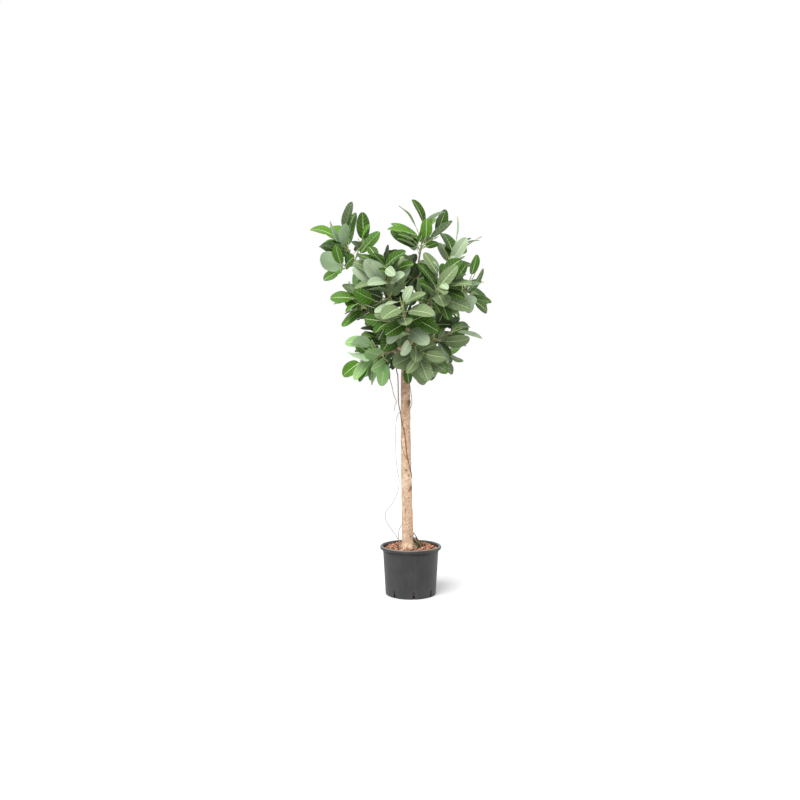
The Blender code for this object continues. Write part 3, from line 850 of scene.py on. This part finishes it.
finer = dict(
    twigs=16,
    fewer=dict(bottom_front=5, left_low=4, right_low=2, left=5, right=2, right_high=2, upper_left=4,
               upper_right=2),
    onBough=(0.55, 0.95), onShoot=(0.2, 0.85), edge=0.02, inward=0.07,
    span=(0.03, 0.08), radii=(0.0018, 0.0011), rings=4, along=0.45, rise=0.15, turnStray=0.4,
    size=0.68, spacing=0.024, tries=10,
)


def inFinerSpace(point, name):
    if any(not low <= value <= high for value, low, high in zip(point, *cadBox)):
        return False
    own = beyond(point, name)
    nearHeart = (point - heart).length < (masses[name][0] - heart).length
    return own < (finer["inward"] if nearHeart else -finer["edge"]) and nearest(point, name, own)


def finerGrowth(name, path, grown, neighbours):
    rng = random.Random(masses[name][5] * 7 + 3)
    bough = boughPath(name)
    parents = (bough, path, *grown)
    twigs, sprays = [], []
    for k in range(finer["fewer"].get(name, finer["twigs"])):
        parent = parents[k % len(parents)]
        start, along = pointOn(parent, rng.uniform(*finer["onBough" if parent is bough else "onShoot"]))
        near, other = across(along, up)
        turn = k * goldenAngle + rng.uniform(-finer["turnStray"], finer["turnStray"])
        way = along * finer["along"] + near * cos(turn) + other * sin(turn) + up * finer["rise"]
        twig = sprig(start, along, way.normalized(), rng.uniform(*finer["span"]), finer["rings"])
        free = treeOf(tube(twig[2:], finer["radii"], shoots["sides"]))
        if not all(inFinerSpace(point, name) for point, _ in twig[2:]) or clashes(free, neighbours):
            continue
        neighbours.append(free)
        spray = leavesAlong(twig, name, neighbours, rng, finer["size"], finer["spacing"], finer["tries"],
                            inFinerSpace)
        if spray:
            twigs.append(twig)
            sprays.append(spray)
        else:
            neighbours.pop()
    return twigs, sprays


# leaf colours: plain base colours, dealt out by spray; the deep tint and the darkest undersides are painted
# shade

leafColours = dict(
    # deep is painted shade: the darkest tint, dealt to sprays near the heart of the crown and to the inner
    # masses
    deep=(0.022, 0.044, 0.01),
    dark=(0.032, 0.082, 0.007),
    green=(0.051, 0.138, 0.008),
    fresh=(0.074, 0.175, 0.014),
    light=(0.185, 0.33, 0.115),
    yellow=(0.21, 0.33, 0.065),
    sage=(0.13, 0.185, 0.082),
    grey=(0.27, 0.35, 0.22),
)
veinColour = (0.52, 0.6, 0.38)
leafParts = dict(
    rib=(0.5, 0.58, 0.33),
    under=(0.37, 0.505, 0.305),
    underDull=(0.145, 0.205, 0.1),
    # the darkest underside and its rib are painted shade, for leaves deep in the crown
    underDark=(0.045, 0.075, 0.028),
    underRib=(0.56, 0.66, 0.45),
    underRibDark=(0.18, 0.24, 0.12),
)

# the tints that a mass is dealt, as often as they are named
dealt = dict(
    upper_left="dark green dark fresh",
    upper_right="green dark green dark fresh",
    right_high="green dark sage dark",
    right="green fresh dark green yellow",
    left="green green sage dark",
    left_low="light sage green light",
    right_low="dark sage deep grey",
    bottom_front="sage sage dark sage",
    front="sage dark sage grey",
    front_left="sage grey dark grey sage green",
    front_right="sage dark grey sage dark",
    middle="dark sage deep sage",
)
dealtElsewhere = "green dark sage fresh"
# small sprays near the heart get these darker tints, as painted shade
paintedShadeInside = "deep dark deep sage"
youngTints = dict(green="fresh", fresh="light", sage="grey", yellow="light")

blade = dict(
    across=(-1, -0.7, -0.36, -0.02, 0.02, 0.36, 0.7, 1), steps=24, thickness=0.0006,
    veins=6, firstVein=0.12, lastVein=0.84, veinHalf=0.003, slant=0.2,
    rib=(0.0014, 0.0004), ribDepth=0.0012, ribFade=0.6,
    quilt=0.004, wave=0.08, waveStray=(0.4, 1), waveTurns=9, waveOffset=1.3,
    mainShare=0.65, youngShare=0.35, innerReach=0.22,
    stalkRadii=[0.0018, 0.0014, 0.0012, 0.0011, 0.0012, 0.0013], stalkIn=0.004, stalkArch=0.06,
    # how often the underside is pale, dull or dark, on the tufts and elsewhere; the dark underside is
    # painted shade for leaves inside the crown
    tufts="upper_left upper_right right_high right left left_low",
    tuftUnders="under under underDull",
    innerUnders="underDull underDark underDark",
)


def makeLeafFinishes():
    # each colour of blade is followed by the colour of its side veins
    colours = {}
    for name, colour in leafColours.items():
        colours[name] = colour
        colours[name + "Vein"] = tuple(a * 0.55 + b * 0.45 for a, b in zip(colour, veinColour))
    colours.update(leafParts)
    for name, colour in colours.items():
        smoothest, roughest, gloss = (0.52, 0.66, 0.1) if name.startswith("under") else (0.36, 0.5, 0.11)
        finish = Finish("leaf_" + name, colour, 0.42, gloss)
        patches = finish.noise(60, 3)
        finish.paint("Roughness", patches.spread(0.3, 0.7, smoothest, roughest))
        finish.bump(finish.noise(420, 3) * 0.6 + patches * 0.4, 0.22, 0.001)
    return ["leaf_" + name for name in colours]


def listBladeRows():
    # share of the length, whether a vein starts there, how much the blade puffs up
    rows = [(0, False, 0), (0.03, False, 0.2), (0.07, False, 0.5)]
    step = (blade["lastVein"] - blade["firstVein"]) / (blade["veins"] - 1)
    for k in range(blade["veins"]):
        share = blade["firstVein"] + step * k
        rows += [(share - blade["veinHalf"], True, 0), (share + blade["veinHalf"], False, 0),
                 (share + step / 2, False, 1)]
    return rows[:-1] + [(0.91, False, 0.6), (0.955, False, 0.3), (0.985, False, 0)]


def listBladeFaces():
    # both sides are parted along the same diagonal, so the thin blade never shows its other side
    last = len(blade["across"]) - 1
    upper = list(range(last + 1))
    lower = [0, *range(last + 1, 2 * last), last]
    faces, parts = [], []
    for r, (_, startsVein, _) in enumerate(bladeRows):
        a, b = 2 * last * r, 2 * last * (r + 1)
        for k in range(last):
            onRib = k == last // 2
            top = "rib" if onRib else "vein" if startsVein else "tint"
            bottom = "underRib" if onRib or startsVein else "under"
            near, far = [(a, k), (a, k + 1)], [(b, k + 1), (b, k)]
            triangles = [near + far[:1], near[:1] + far]
            if r == len(bladeRows) - 1:
                triangles = [near + [(b, 0)]]
            for corners in triangles:
                faces.append([start + upper[at] for start, at in corners])
                faces.append([start + lower[at] for start, at in reversed(corners)])
                parts += [top, bottom]
    return faces + [[*lower, *reversed(upper[1:-1])]], parts + ["underRib"]


bladeRows = listBladeRows()
bladeFaces, bladeParts = listBladeFaces()


def bladePoints(leaf, rng):
    steps = blade["steps"]
    spine = [leaf.base]
    for i in range(steps):
        bend = leaf.droop * (i + 0.5) / steps
        spine.append(spine[-1] + turned(leaf.way, leaf.above, -bend) * (leaf.length / steps))
    phase = rng.uniform(0, tau)
    ripple = rng.uniform(*blade["waveStray"]) * blade["wave"]
    points = []
    for share, _, puff in bladeRows:
        rib = blend(*blade["rib"], share)
        upper, lower = [], []
        for u in blade["across"]:
            forward = min(0.9999, share + blade["slant"] * abs(u) ** 1.25 * 4 * share * (1 - share))
            k = int(forward * steps)
            lifted = turned(leaf.above, leaf.way, leaf.droop * forward)
            wide = max(rib * 1.5, leaf.length * leaf.width / 2 * halfWidth(forward))
            onRib = abs(u) < 0.1
            lateral = copysign(rib, u) if onRib else u * wide
            rise = leaf.cup * abs(lateral) * (0.7 + 0.3 * abs(u))
            offset = blade["waveOffset"] if u > 0 else 0
            rise += ripple * wide * u * u * sin(phase + share * blade["waveTurns"] + offset)
            rise += blade["quilt"] * leaf.length * puff * (1 - abs(abs(u) - 0.5) * 2)
            spot = spine[k].lerp(spine[k + 1], forward * steps - k) + leaf.side * lateral + lifted * rise
            deep = blade["thickness"] * (1 - u * u)
            if onRib:
                deep += blade["ribDepth"] * (1 - blade["ribFade"] * share)
            upper.append(spot)
            lower.append(spot - lifted * deep)
        points += upper + lower[1:-1]
    return points + spine[-1:]


def drawnLeaf(names, leaf, tint, under, rng):
    # an underside with painted shade gets a rib with painted shade
    looks = dict(rib="rib", vein=tint + "Vein", tint=tint, under=under,
                 underRib="underRibDark" if under == "underDark" else "underRib")
    marks = {part: names.index("leaf_" + look) for part, look in looks.items()}
    return bladePoints(leaf, rng), bladeFaces, [marks[part] for part in bladeParts]


def stalkRoute(leaf):
    radii = blade["stalkRadii"]
    foot, base = leaf.foot, leaf.foot + leaf.way * (leaf.stalk + blade["stalkIn"])
    arch = leaf.above * (leaf.stalk * blade["stalkArch"])
    return bezier(foot, foot.lerp(base, 0.35) + arch, foot.lerp(base, 0.7) + arch, base, len(radii)), radii


# stems, shoots, twigs and buds as they are drawn
wood = dict(
    rings=9, massStem=(0.0045, 0.00308), shoot=(0.0031, 0.0019), twig=(0.0021, 0.0013),
    budSides=8, budLength=0.022,
    # distance from the shoot's tip, radius
    bud=((-0.002, 0.0018), (0.004, 0.0023), (0.01, 0.0019), (0.016, 0.001)),
)


def budOn(tip, heading):
    line = [(tip + heading * step, heading) for step, _ in wood["bud"]]
    rings = tube(line, [radius for _, radius in wood["bud"]], wood["budSides"])
    return lofted(rings + [[tip + heading * wood["budLength"]]])


def makeCrown():
    names = makeLeafFinishes()
    stiff = limbTrees()
    stems, thin, stalks, buds = [], [], [], []
    for name in masses:
        grown, sprays, twigs, smallSprays = grow(name, stiff)
        rng = random.Random(masses[name][5] + 500)
        tints = dealt.get(name, dealtElsewhere).split()
        unders = blade["tuftUnders" if name in blade["tufts"].split() else "innerUnders"].split()
        drawn = []
        for k, spray in enumerate(sprays + smallSprays):
            # small sprays near the heart are dealt the darker tints, as painted shade
            inner = k >= len(sprays) and (spray[0].foot - heart).length < blade["innerReach"]
            main = rng.choice(paintedShadeInside.split() if inner else tints)
            for leaf in spray:
                tint = main if inner or rng.random() < blade["mainShare"] else rng.choice(tints)
                if leaf.order == 0 and rng.random() < blade["youngShare"]:
                    tint = youngTints.get(tint, tint)
                drawn.append(drawnLeaf(names, leaf, tint, rng.choice(unders), rng))
                stalks.append(stalkRoute(leaf))
        piece("leaves_" + name, drawn, names, ("foliage_" + name,))
        stems.append(tapered(massStem(name, wood["rings"]), *wood["massStem"]))
        for shoot in grown:
            fine = smoothRoute([point for point, _ in shoot], wood["rings"])
            thin.append(tapered(fine, *wood["shoot"]))
            buds.append(budOn(*shoot[-1]))
        thin += [tapered(twig, *wood["twig"]) for twig in twigs]
    print("leaves:", len(stalks))
    limbPiece("stalks", stalks)
    limbPiece("massStems", stems)
    limbPiece("shoots", thin)
    piece("buds", buds, ["budSheath"], (), 50)


# bark of the stem and the boughs

bark = dict(
    sides=72, rings=420, sink=0.004, boughRings=30, collar=0.35, collarStart=0.014, collarFade=0.012,
    # the top rounds over into the leader: width, height
    top=((0.93, 0.0012), (0.8, 0.0022)),
    # relief: depth, how finely it is grained round the stem and along it
    lump=(0.0009, 0.616, 28), fissure=(0.0007, 3.74, 14), wrinkle=(0.00035, 0.66, 420),
    fissureLeast=0.35, fissureFade=0.09,
    scar=0.0022, scarSharp=14, scarRadius=0.023, lip=0.0008, lipSharp=30, lipPlace=0.55,
    # bulbs of the toes at the ground: azimuth, how far they stand out
    bulbs=((-30, 0.003), (-165, 0.004), (110, 0.004)),
    bulbRadius=0.036, bulbHalf=0.0085, bulbRise=0.005, bulbTall=0.009,
    low=(0.43, 0.3, 0.2), middle=(0.36, 0.232, 0.152), high=(0.2, 0.122, 0.067),
    dark=(0.038, 0.025, 0.014), stain=(0.205, 0.118, 0.068), pale=(0.52, 0.395, 0.285),
    rosy=(0.41, 0.225, 0.16),
)

# marks on the bark: height in millimetres, azimuth, radius in millimetres
scars = (
    (876, -42, 14), (864, -48, 8), (905, -24, 5), (965, -28, 6), (752, -112, 4), (590, 35, 8),
    (486, -38, 11), (476, -55, 5), (470, -68, 4), (542, -66, 4.5), (565, -92, 4), (700, 150, 8),
    (395, 95, 8), (386, -107, 2.8), (320, -162, 4.5), (262, -60, 3.5),
)


def makeBarkFinish():
    finish = Finish("bark", bark["middle"], 0.8, 0.3)
    patches = finish.noise(30, 4)
    long = finish.noise(34, 5, (1, 1, 0.14))
    flecks = finish.noise(150, 2, (1, 1, 2.2))
    mottle = finish.noise(80, 4, (1, 1, 1.5))
    rise = (finish.height() + (patches - 0.5) * 0.35).spread(0.66, 1.02)
    tone = rise.between(bark["low"], bark["high"])
    # pattern, the two ends of its range, the share of the colour at each end
    for pattern, low, high, toLow, toHigh, colour in (
            (long, 0.4, 0.6, 0, 0.65, "middle"),
            (patches, 0.5, 0.64, 0, 0.7, "pale"),
            (patches + long, 0.76, 0.92, 0.7, 0, "rosy"),
            (mottle, 0.34, 0.47, 0.6, 0, "pale"),
            (mottle, 0.53, 0.65, 0, 0.55, "stain"),
            (flecks, 0.61, 0.68, 0, 0.7, "dark")):
        tone = pattern.spread(low, high, toLow, toHigh).between(tone, bark[colour])
    # a stain round each scar, then its dark heart
    for colour, core, edge, share in (("stain", 0.6, 1.9, 0.8), ("dark", 0.3, 0.75, 0.92)):
        for height, turn, radius in scars:
            radius /= 1000
            off = finish.distance(onStem(height / 1000, radians(turn))) + (flecks - 0.5) * 0.012
            tone = off.spread(radius * core, radius * edge, share, 0).between(tone, bark[colour])
    finish.paint("Base Color", tone)
    finish.paint("Roughness", long.spread(0.3, 0.7, 0.7, 0.92))
    finish.bump(long * 0.6 + flecks * 0.3 + finish.noise(600, 3) * 0.3, 0.55, 0.0022)


def grained(name, out, height):
    depth, wide, tall = bark[name]
    return depth * noise.noise(Vector((out.x * wide, out.y * wide, height * tall)))


def trunkPoint(height, turn):
    out = outward(turn)
    nearGround = exp(-(height - mixLevel) / bark["fissureFade"])
    relief = grained("lump", out, height) + grained("wrinkle", out, height)
    relief -= (bark["fissureLeast"] + nearGround) * max(0, grained("fissure", out, height))
    for knotHeight, knotTurn, _, half in stem["knots"]:
        distance = apart(height - knotHeight, turn - radians(knotTurn), bark["scarRadius"]) / half
        relief -= bark["scar"] * exp(-bark["scarSharp"] * distance**2)
        relief += bark["lip"] * exp(-bark["lipSharp"] * (distance - bark["lipPlace"]) ** 2)
    for bulbTurn, stand in bark["bulbs"]:
        away = remainder(turn - radians(bulbTurn), tau) * bark["bulbRadius"] / bark["bulbHalf"]
        rise = (height - mixLevel - bark["bulbRise"]) / bark["bulbTall"]
        relief += stand * exp(-away * away - rise * rise)
    return stemAxis(height) + out * (stemRadius(height, turn) + relief)


def makeTrunk():
    heights = tapering(mixLevel - bark["sink"], fork, bark["rings"])
    rings = [[trunkPoint(height, turn) for turn in around(bark["sides"])] for height in heights]
    middle, top = stemAxis(fork), rings[-1]
    for shrink, rise in bark["top"]:
        rings.append([middle + (p - middle) * shrink + up * rise for p in top])
    piece("trunkBark", [lofted(rings)], ["bark"], ("trunk",))


def makeBoughs():
    routes = []
    count = bark["boughRings"]
    for name in masses:
        path = boughPath(name, count)
        length = lengthOf(path)
        radii = []
        for k, radius in enumerate(boughRadii(name, count)):
            fromStem = max(0, length * k / (count - 1) - bark["collarStart"])
            radii.append(radius * (1 + bark["collar"] * exp(-fromStem / bark["collarFade"])))
        routes.append((path, radii))
    limbPiece("boughBark", routes, ["bough_" + name for name in masses])


makeCrown()
makeBarkFinish()
makeTrunk()
makeBoughs()
print("crown and bark made")


# aerial roots, along the source's routes

# rings, first and last radius, stops in millimetres
rootStops = dict(
    hanging=(60, 0.0017, 0.0008, (-99, -30, 1027), (-99, -31, 995), (-86, -32, 949), (-76, -32, 903),
             (-65, -30, 880), (-72, -31, 858), (-75, -32, 835)),
    wrapping=(120, 0.0023, 0.0016, (-65, -12, 1027), (-59, -10, 995), (-57, -8, 926), (-55, -6, 867)),
    long=(150, 0.001, 0.0015, (-60, -12, 816), (-66, -14, 784), (-70, -14, 748), (-69, -13, 690),
          (-67, -12, 620), (-61, -12, 565), (-53, -12, 519), (-57, -13, 473), (-69, -14, 441),
          (-87, -16, 409), (-110, -18, 382), (-116, -20, 359), (-110, -22, 331), (-87, -25, 295),
          (-69, -28, 272), (-50, -32, 236), (-46, -33, 215)),
    propRight=(36, 0.0025, 0.0025, (22, -8, 266), (34, -11, 243), (50, -14, 218)),
    propLeft=(36, 0.0014, 0.0014, (-51, -4, 296), (-56, -5, 265), (-57, -6, 228)),
)

# strands that cling to the bark: radius, then height, azimuth and how far off in millimetres
clinging = (
    (0.0011, (720, 176, 0), (684, 208, 0.8), (660, 232, 0.8), (636, 254, 0.8), (614, 280, 0.2)),
    (0.0013, (985, -40, 0), (955, -26, 0.8), (930, -12, 3), (897, -6, 7), (868, -6, 6), (842, -18, -1)),
    (0.0006, (598, -12, -0.5), (594, -8, 6), (575, -6, 12), (556, -8, 10)),
    (0.0007, (392, -107, -0.4), (376, -108, 0.1), (356, -106, -0.1), (338, -109, 0.1), (322, -107, -0.4)),
)

roots = dict(
    # how far along their boughs two roots start
    hangFrom=0.55, wrapFrom=0.25,
    # the wrapping root goes down the bark from the first height to the second
    wrap=(0.828, 0.528), wrapStops=9, wrapSway=0.12, wrapOff=0.0018,
    # the long root leaves this ring of the source's wrapping root, of so many
    longFrom=11, longOf=30,
    propRise=0.022, propDepth=4, clingRings=30, colour=(0.18, 0.16, 0.09), seed=11,
)

# fine hairs on the hanging root, the long one and the first rings of the wrapping one
hairs = dict(count=46, places=(0.15, 0.95), span=(0.004, 0.013), radii=(0.0004, 0.00015), rings=5,
             wrapRings=70)

tangle = dict(
    strands=44, turn=-0.1, turnSpread=0.32, start=(0.008, 0.052), sink=0.001, reach=(0.01, 0.044),
    stray=0.006, strayUp=0.008, arch=(0.004, 0.022), footRise=0.002,
    radius=(0.0008, 0.0017), tipRadius=0.0006, rings=14,
)

toes = dict(
    # azimuth, radius
    places=((-116, 0.011), (-70, 0.0115), (-26, 0.008), (-158, 0.008), (100, 0.009), (40, 0.008)),
    # height over the mix and how far off the stem, at each stop
    stops=((0.034, -0.01), (0.022, -0.006), (0.011, 0), (0, 0.005), (-0.01, 0.007)),
    rings=14, least=0.55, swelling=0.45, swellingShift=1.3,
)


def rootRoute(name, stops):
    rings, first, last = rootStops[name][:3]
    return tapered(smoothRoute(stops, rings), first, last)


def stopsOf(name):
    return [Vector(metres(*stop)) for stop in rootStops[name][3:]]


def toMix(stops):
    foot = stops[-1].copy()
    foot.z = mixLevel + stem["gap"]
    return [*stops, foot]


def wrapStops():
    stops = [pointOn(boughPath("left"), roots["wrapFrom"])[0], *stopsOf("wrapping")]
    for share in tapering(0, 1, roots["wrapStops"]):
        turn = pi * (1 + share + roots["wrapSway"] * sin(tau * share))
        stops.append(onStem(blend(*roots["wrap"], share), turn, roots["wrapOff"]))
    return stops


def rootlet(path, rng):
    point = path[int(rng.uniform(*hairs["places"]) * (len(path) - 1))][0]
    out = Vector((rng.uniform(-1, 1), rng.uniform(-1, 1), rng.uniform(-0.9, 0.1))).normalized()
    size = rng.uniform(*hairs["span"])
    hair = bezier(point, point + out * size * 0.4, point + out * size * 0.7 - up * size * 0.2,
                  point + out * size - up * size * 0.4, hairs["rings"])
    return tapered(hair, *hairs["radii"])


def tangleStrand(rng):
    # one strand of the mossy tangle at the foot, on the right
    turn = rng.gauss(tangle["turn"], tangle["turnSpread"])
    start = onStem(mixLevel + rng.uniform(*tangle["start"]), turn, -tangle["sink"])
    reach = outward(turn) * rng.uniform(*tangle["reach"])
    side = tangle["stray"]
    stray = Vector((rng.uniform(-side, side), rng.uniform(-side, side), rng.uniform(0, tangle["strayUp"])))
    foot = start + reach + stray * 0.8
    foot.z = mixLevel + tangle["footRise"]
    arch = up * rng.uniform(*tangle["arch"])
    strand = bezier(start, start + reach * 0.7 + stray, foot + arch, foot, tangle["rings"])
    return tapered(strand, rng.uniform(*tangle["radius"]), tangle["tipRadius"])


def toeRoute(turn, radius):
    # a swollen toe that dives into the mix
    path = [onStem(mixLevel + rise, radians(turn), off) for rise, off in toes["stops"]]
    radii = [radius * (toes["least"] + toes["swelling"] * sin(pi * share ** toes["swellingShift"]))
             for share in tapering(0, 1, toes["rings"])]
    return smoothRoute(path, toes["rings"]), radii


def makeRoots():
    rng = random.Random(roots["seed"])
    start = pointOn(boughPath("left_low"), roots["hangFrom"])[0]
    hanging = rootRoute("hanging", [start, *stopsOf("hanging")])
    wrap = rootRoute("wrapping", wrapStops())
    start = smoothRoute(wrapStops(), roots["longOf"])[roots["longFrom"]][0]
    trail = rootRoute("long", toMix([start, *stopsOf("long")]))
    skin = Finish("rootSkin", roots["colour"], 0.85)
    patches = skin.noise(90, 3).spread(0.35, 0.7)
    skin.paint("Base Color", patches.between(roots["colour"], skins["oldRootSkin"][0]))
    skin.bump(skin.noise(700, 2), 0.5, 0.0008)
    limbPiece("thinRoots", [hanging, trail], ("root_hanging", "root_long"))

    props = []
    for name, side in (("propRight", 0), ("propLeft", pi)):
        stops = stopsOf(name)
        start = onStem(stops[0].z + roots["propRise"], side, -roots["propDepth"] * rootStops[name][1])
        props.append(rootRoute(name, toMix([start, *stops])))
    limbPiece("thickRoots", [wrap, *props], ("root_wrapping", "root_prop_right", "root_prop_left"))

    fine = []
    for radius, *stops in clinging:
        places = [onStem(height / 1000, radians(turn), off / 1000) for height, turn, off in stops]
        fine.append(tapered(smoothRoute(places, roots["clingRings"]), radius, radius))
    bearing = (hanging[0], trail[0], wrap[0][:hairs["wrapRings"]])
    fine += [rootlet(bearing[k % 3], rng) for k in range(hairs["count"])]
    limbPiece("rootlets", fine)
    strands = [tangleStrand(rng) for _ in range(tangle["strands"])]
    limbPiece("rootTangle", strands[::2] + strands[1::4])
    limbPiece("rootTangleFront", strands[3::4])
    limbPiece("toes", [toeRoute(*place) for place in toes["places"]])


makeRoots()
print("roots made")


# the potting mix: a bed, flat round the stem and then a little higher towards the back, and chips of
# bark and clay strewn over it

mix = dict(
    flat=0.062, shoulder=0.088, slope=0.08, drop=0.003, heap=0.0035, rings=30, sides=120,
    gap=0.0006, foot=0.016, footGap=0.0016,
    # lumps: where their noise is cut, how fine it is, their share of the roughness
    rough=0.0022, lumps=((0.3, 45, 1), (0.9, 130, 0.5)), edgeCalm=0.6,
    bed=(0.09, 0.042, 0.026), bedDark=(0.035, 0.02, 0.014),
    chipForms=((0.75, 0.6, 0.45), (1.5, 1.1, 0.8)), chipTurns=((0, 0, 0), (6.283, 6.283, 6.283)),
    chipJags=1.7, chipRoughness=0.88, chipGrain=700,
)

# colour, how many per square metre, smallest, largest, seed
chips = dict(
    red=((0.43, 0.19, 0.11), 13000.0, 0.0022, 0.0048, 1),
    tan=((0.64, 0.4, 0.26), 9000.0, 0.0018, 0.0042, 2),
    brown=((0.22, 0.095, 0.058), 11000.0, 0.002, 0.0048, 3),
    umber=((0.05, 0.027, 0.018), 13000.0, 0.0018, 0.0044, 4),
)


def mixReach():
    return wallRadius(mixLevel - mix["drop"] - mix["slope"] * pot["rimRadius"]) - pot["wall"] - mix["gap"]


def mixHeight(x, y):
    off = hypot(x, y)
    tilt = ramp(off, mix["flat"], mix["shoulder"])
    edge = ramp(off, mix["shoulder"], mixReach())
    level = mixLevel + mix["slope"] * y * tilt - mix["drop"] * edge + mix["heap"] * (1 - edge)
    lumps = sum(share * noise.noise(Vector((x, y, cut)) * scale) for cut, scale, share in mix["lumps"])
    return level + mix["rough"] * lumps * (1 - mix["edgeCalm"] * edge**3)


def chipShape():
    # scatters chips of random size and turn over a surface
    shape = Shape("chips", Density="Float", Smallest="Float", Largest="Float", Seed="Int")
    given = shape.given
    seed = given["Seed"]

    def chance(kind, low, high, first, output):
        # the inputs for low and high are the first and the next
        return shape.node("FunctionNodeRandomValue", {"data_type": kind}, {
            first: low, first + 1: high, "Seed": seed}, output)

    spots = shape.step("DistributePointsOnFaces", {
        "Mesh": given["Geometry"], "Density": given["Density"], "Seed": seed})
    ball = shape.step("MeshIcoSphere", {"Radius": 1, "Subdivisions": 1})
    jags = shape.node("ShaderNodeTexNoise", {}, {"Scale": mix["chipJags"], "Detail": 1}, "Color")
    size = chance("FLOAT", given["Smallest"], given["Largest"], 2, 1)
    form = chance("FLOAT_VECTOR", *mix["chipForms"], 0, 0)
    shape.close(shape.step("InstanceOnPoints", {
        "Points": spots, "Instance": shape.step("SetPosition", {"Geometry": ball, "Offset": jags}),
        "Rotation": chance("FLOAT_VECTOR", *mix["chipTurns"], 0, 0),
        "Scale": shape.node("ShaderNodeVectorMath", {"operation": "SCALE"}, {0: form, "Scale": size})}))
    return shape


def makeMix():
    bed = Finish("mixBed", mix["bed"], 0.95)
    clumps = bed.noise(260, 4)
    bed.paint("Base Color", clumps.spread(0.35, 0.65).between(mix["bed"], mix["bedDark"]))
    bed.bump(clumps, 0.8, 0.003)
    reach = mixReach()
    ways = [outward(turn) for turn in around(mix["sides"])]
    top = []
    for r in range(mix["rings"], 0, -1):
        spots = [way * (reach * r / mix["rings"]) for way in ways]
        top.append([Vector((p.x, p.y, mixHeight(p.x, p.y))) for p in spots])
    foot = wallRadius(mix["foot"]) - pot["wall"] - mix["footGap"]
    bottom = up * mix["foot"]
    rings = [[bottom], [bottom + way * foot for way in ways], *top, [up * mixHeight(0, 0)]]
    piece("mixBed", [lofted(rings)], ["mixBed"], ("potting_mix",))

    shape = chipShape()
    points, faces, _ = lofted(top[1:])
    for tint, (colour, *numbers) in chips.items():
        name = "chip_" + tint
        skins[name] = (colour, mix["chipRoughness"], mix["chipGrain"])
        thing = objectOf("chips_" + tint, points, faces[:-2])  # without its two ends
        shape.made(thing, *numbers, finishOf(name))
        dress(thing, (), 30)


makeMix()
print("mix made")
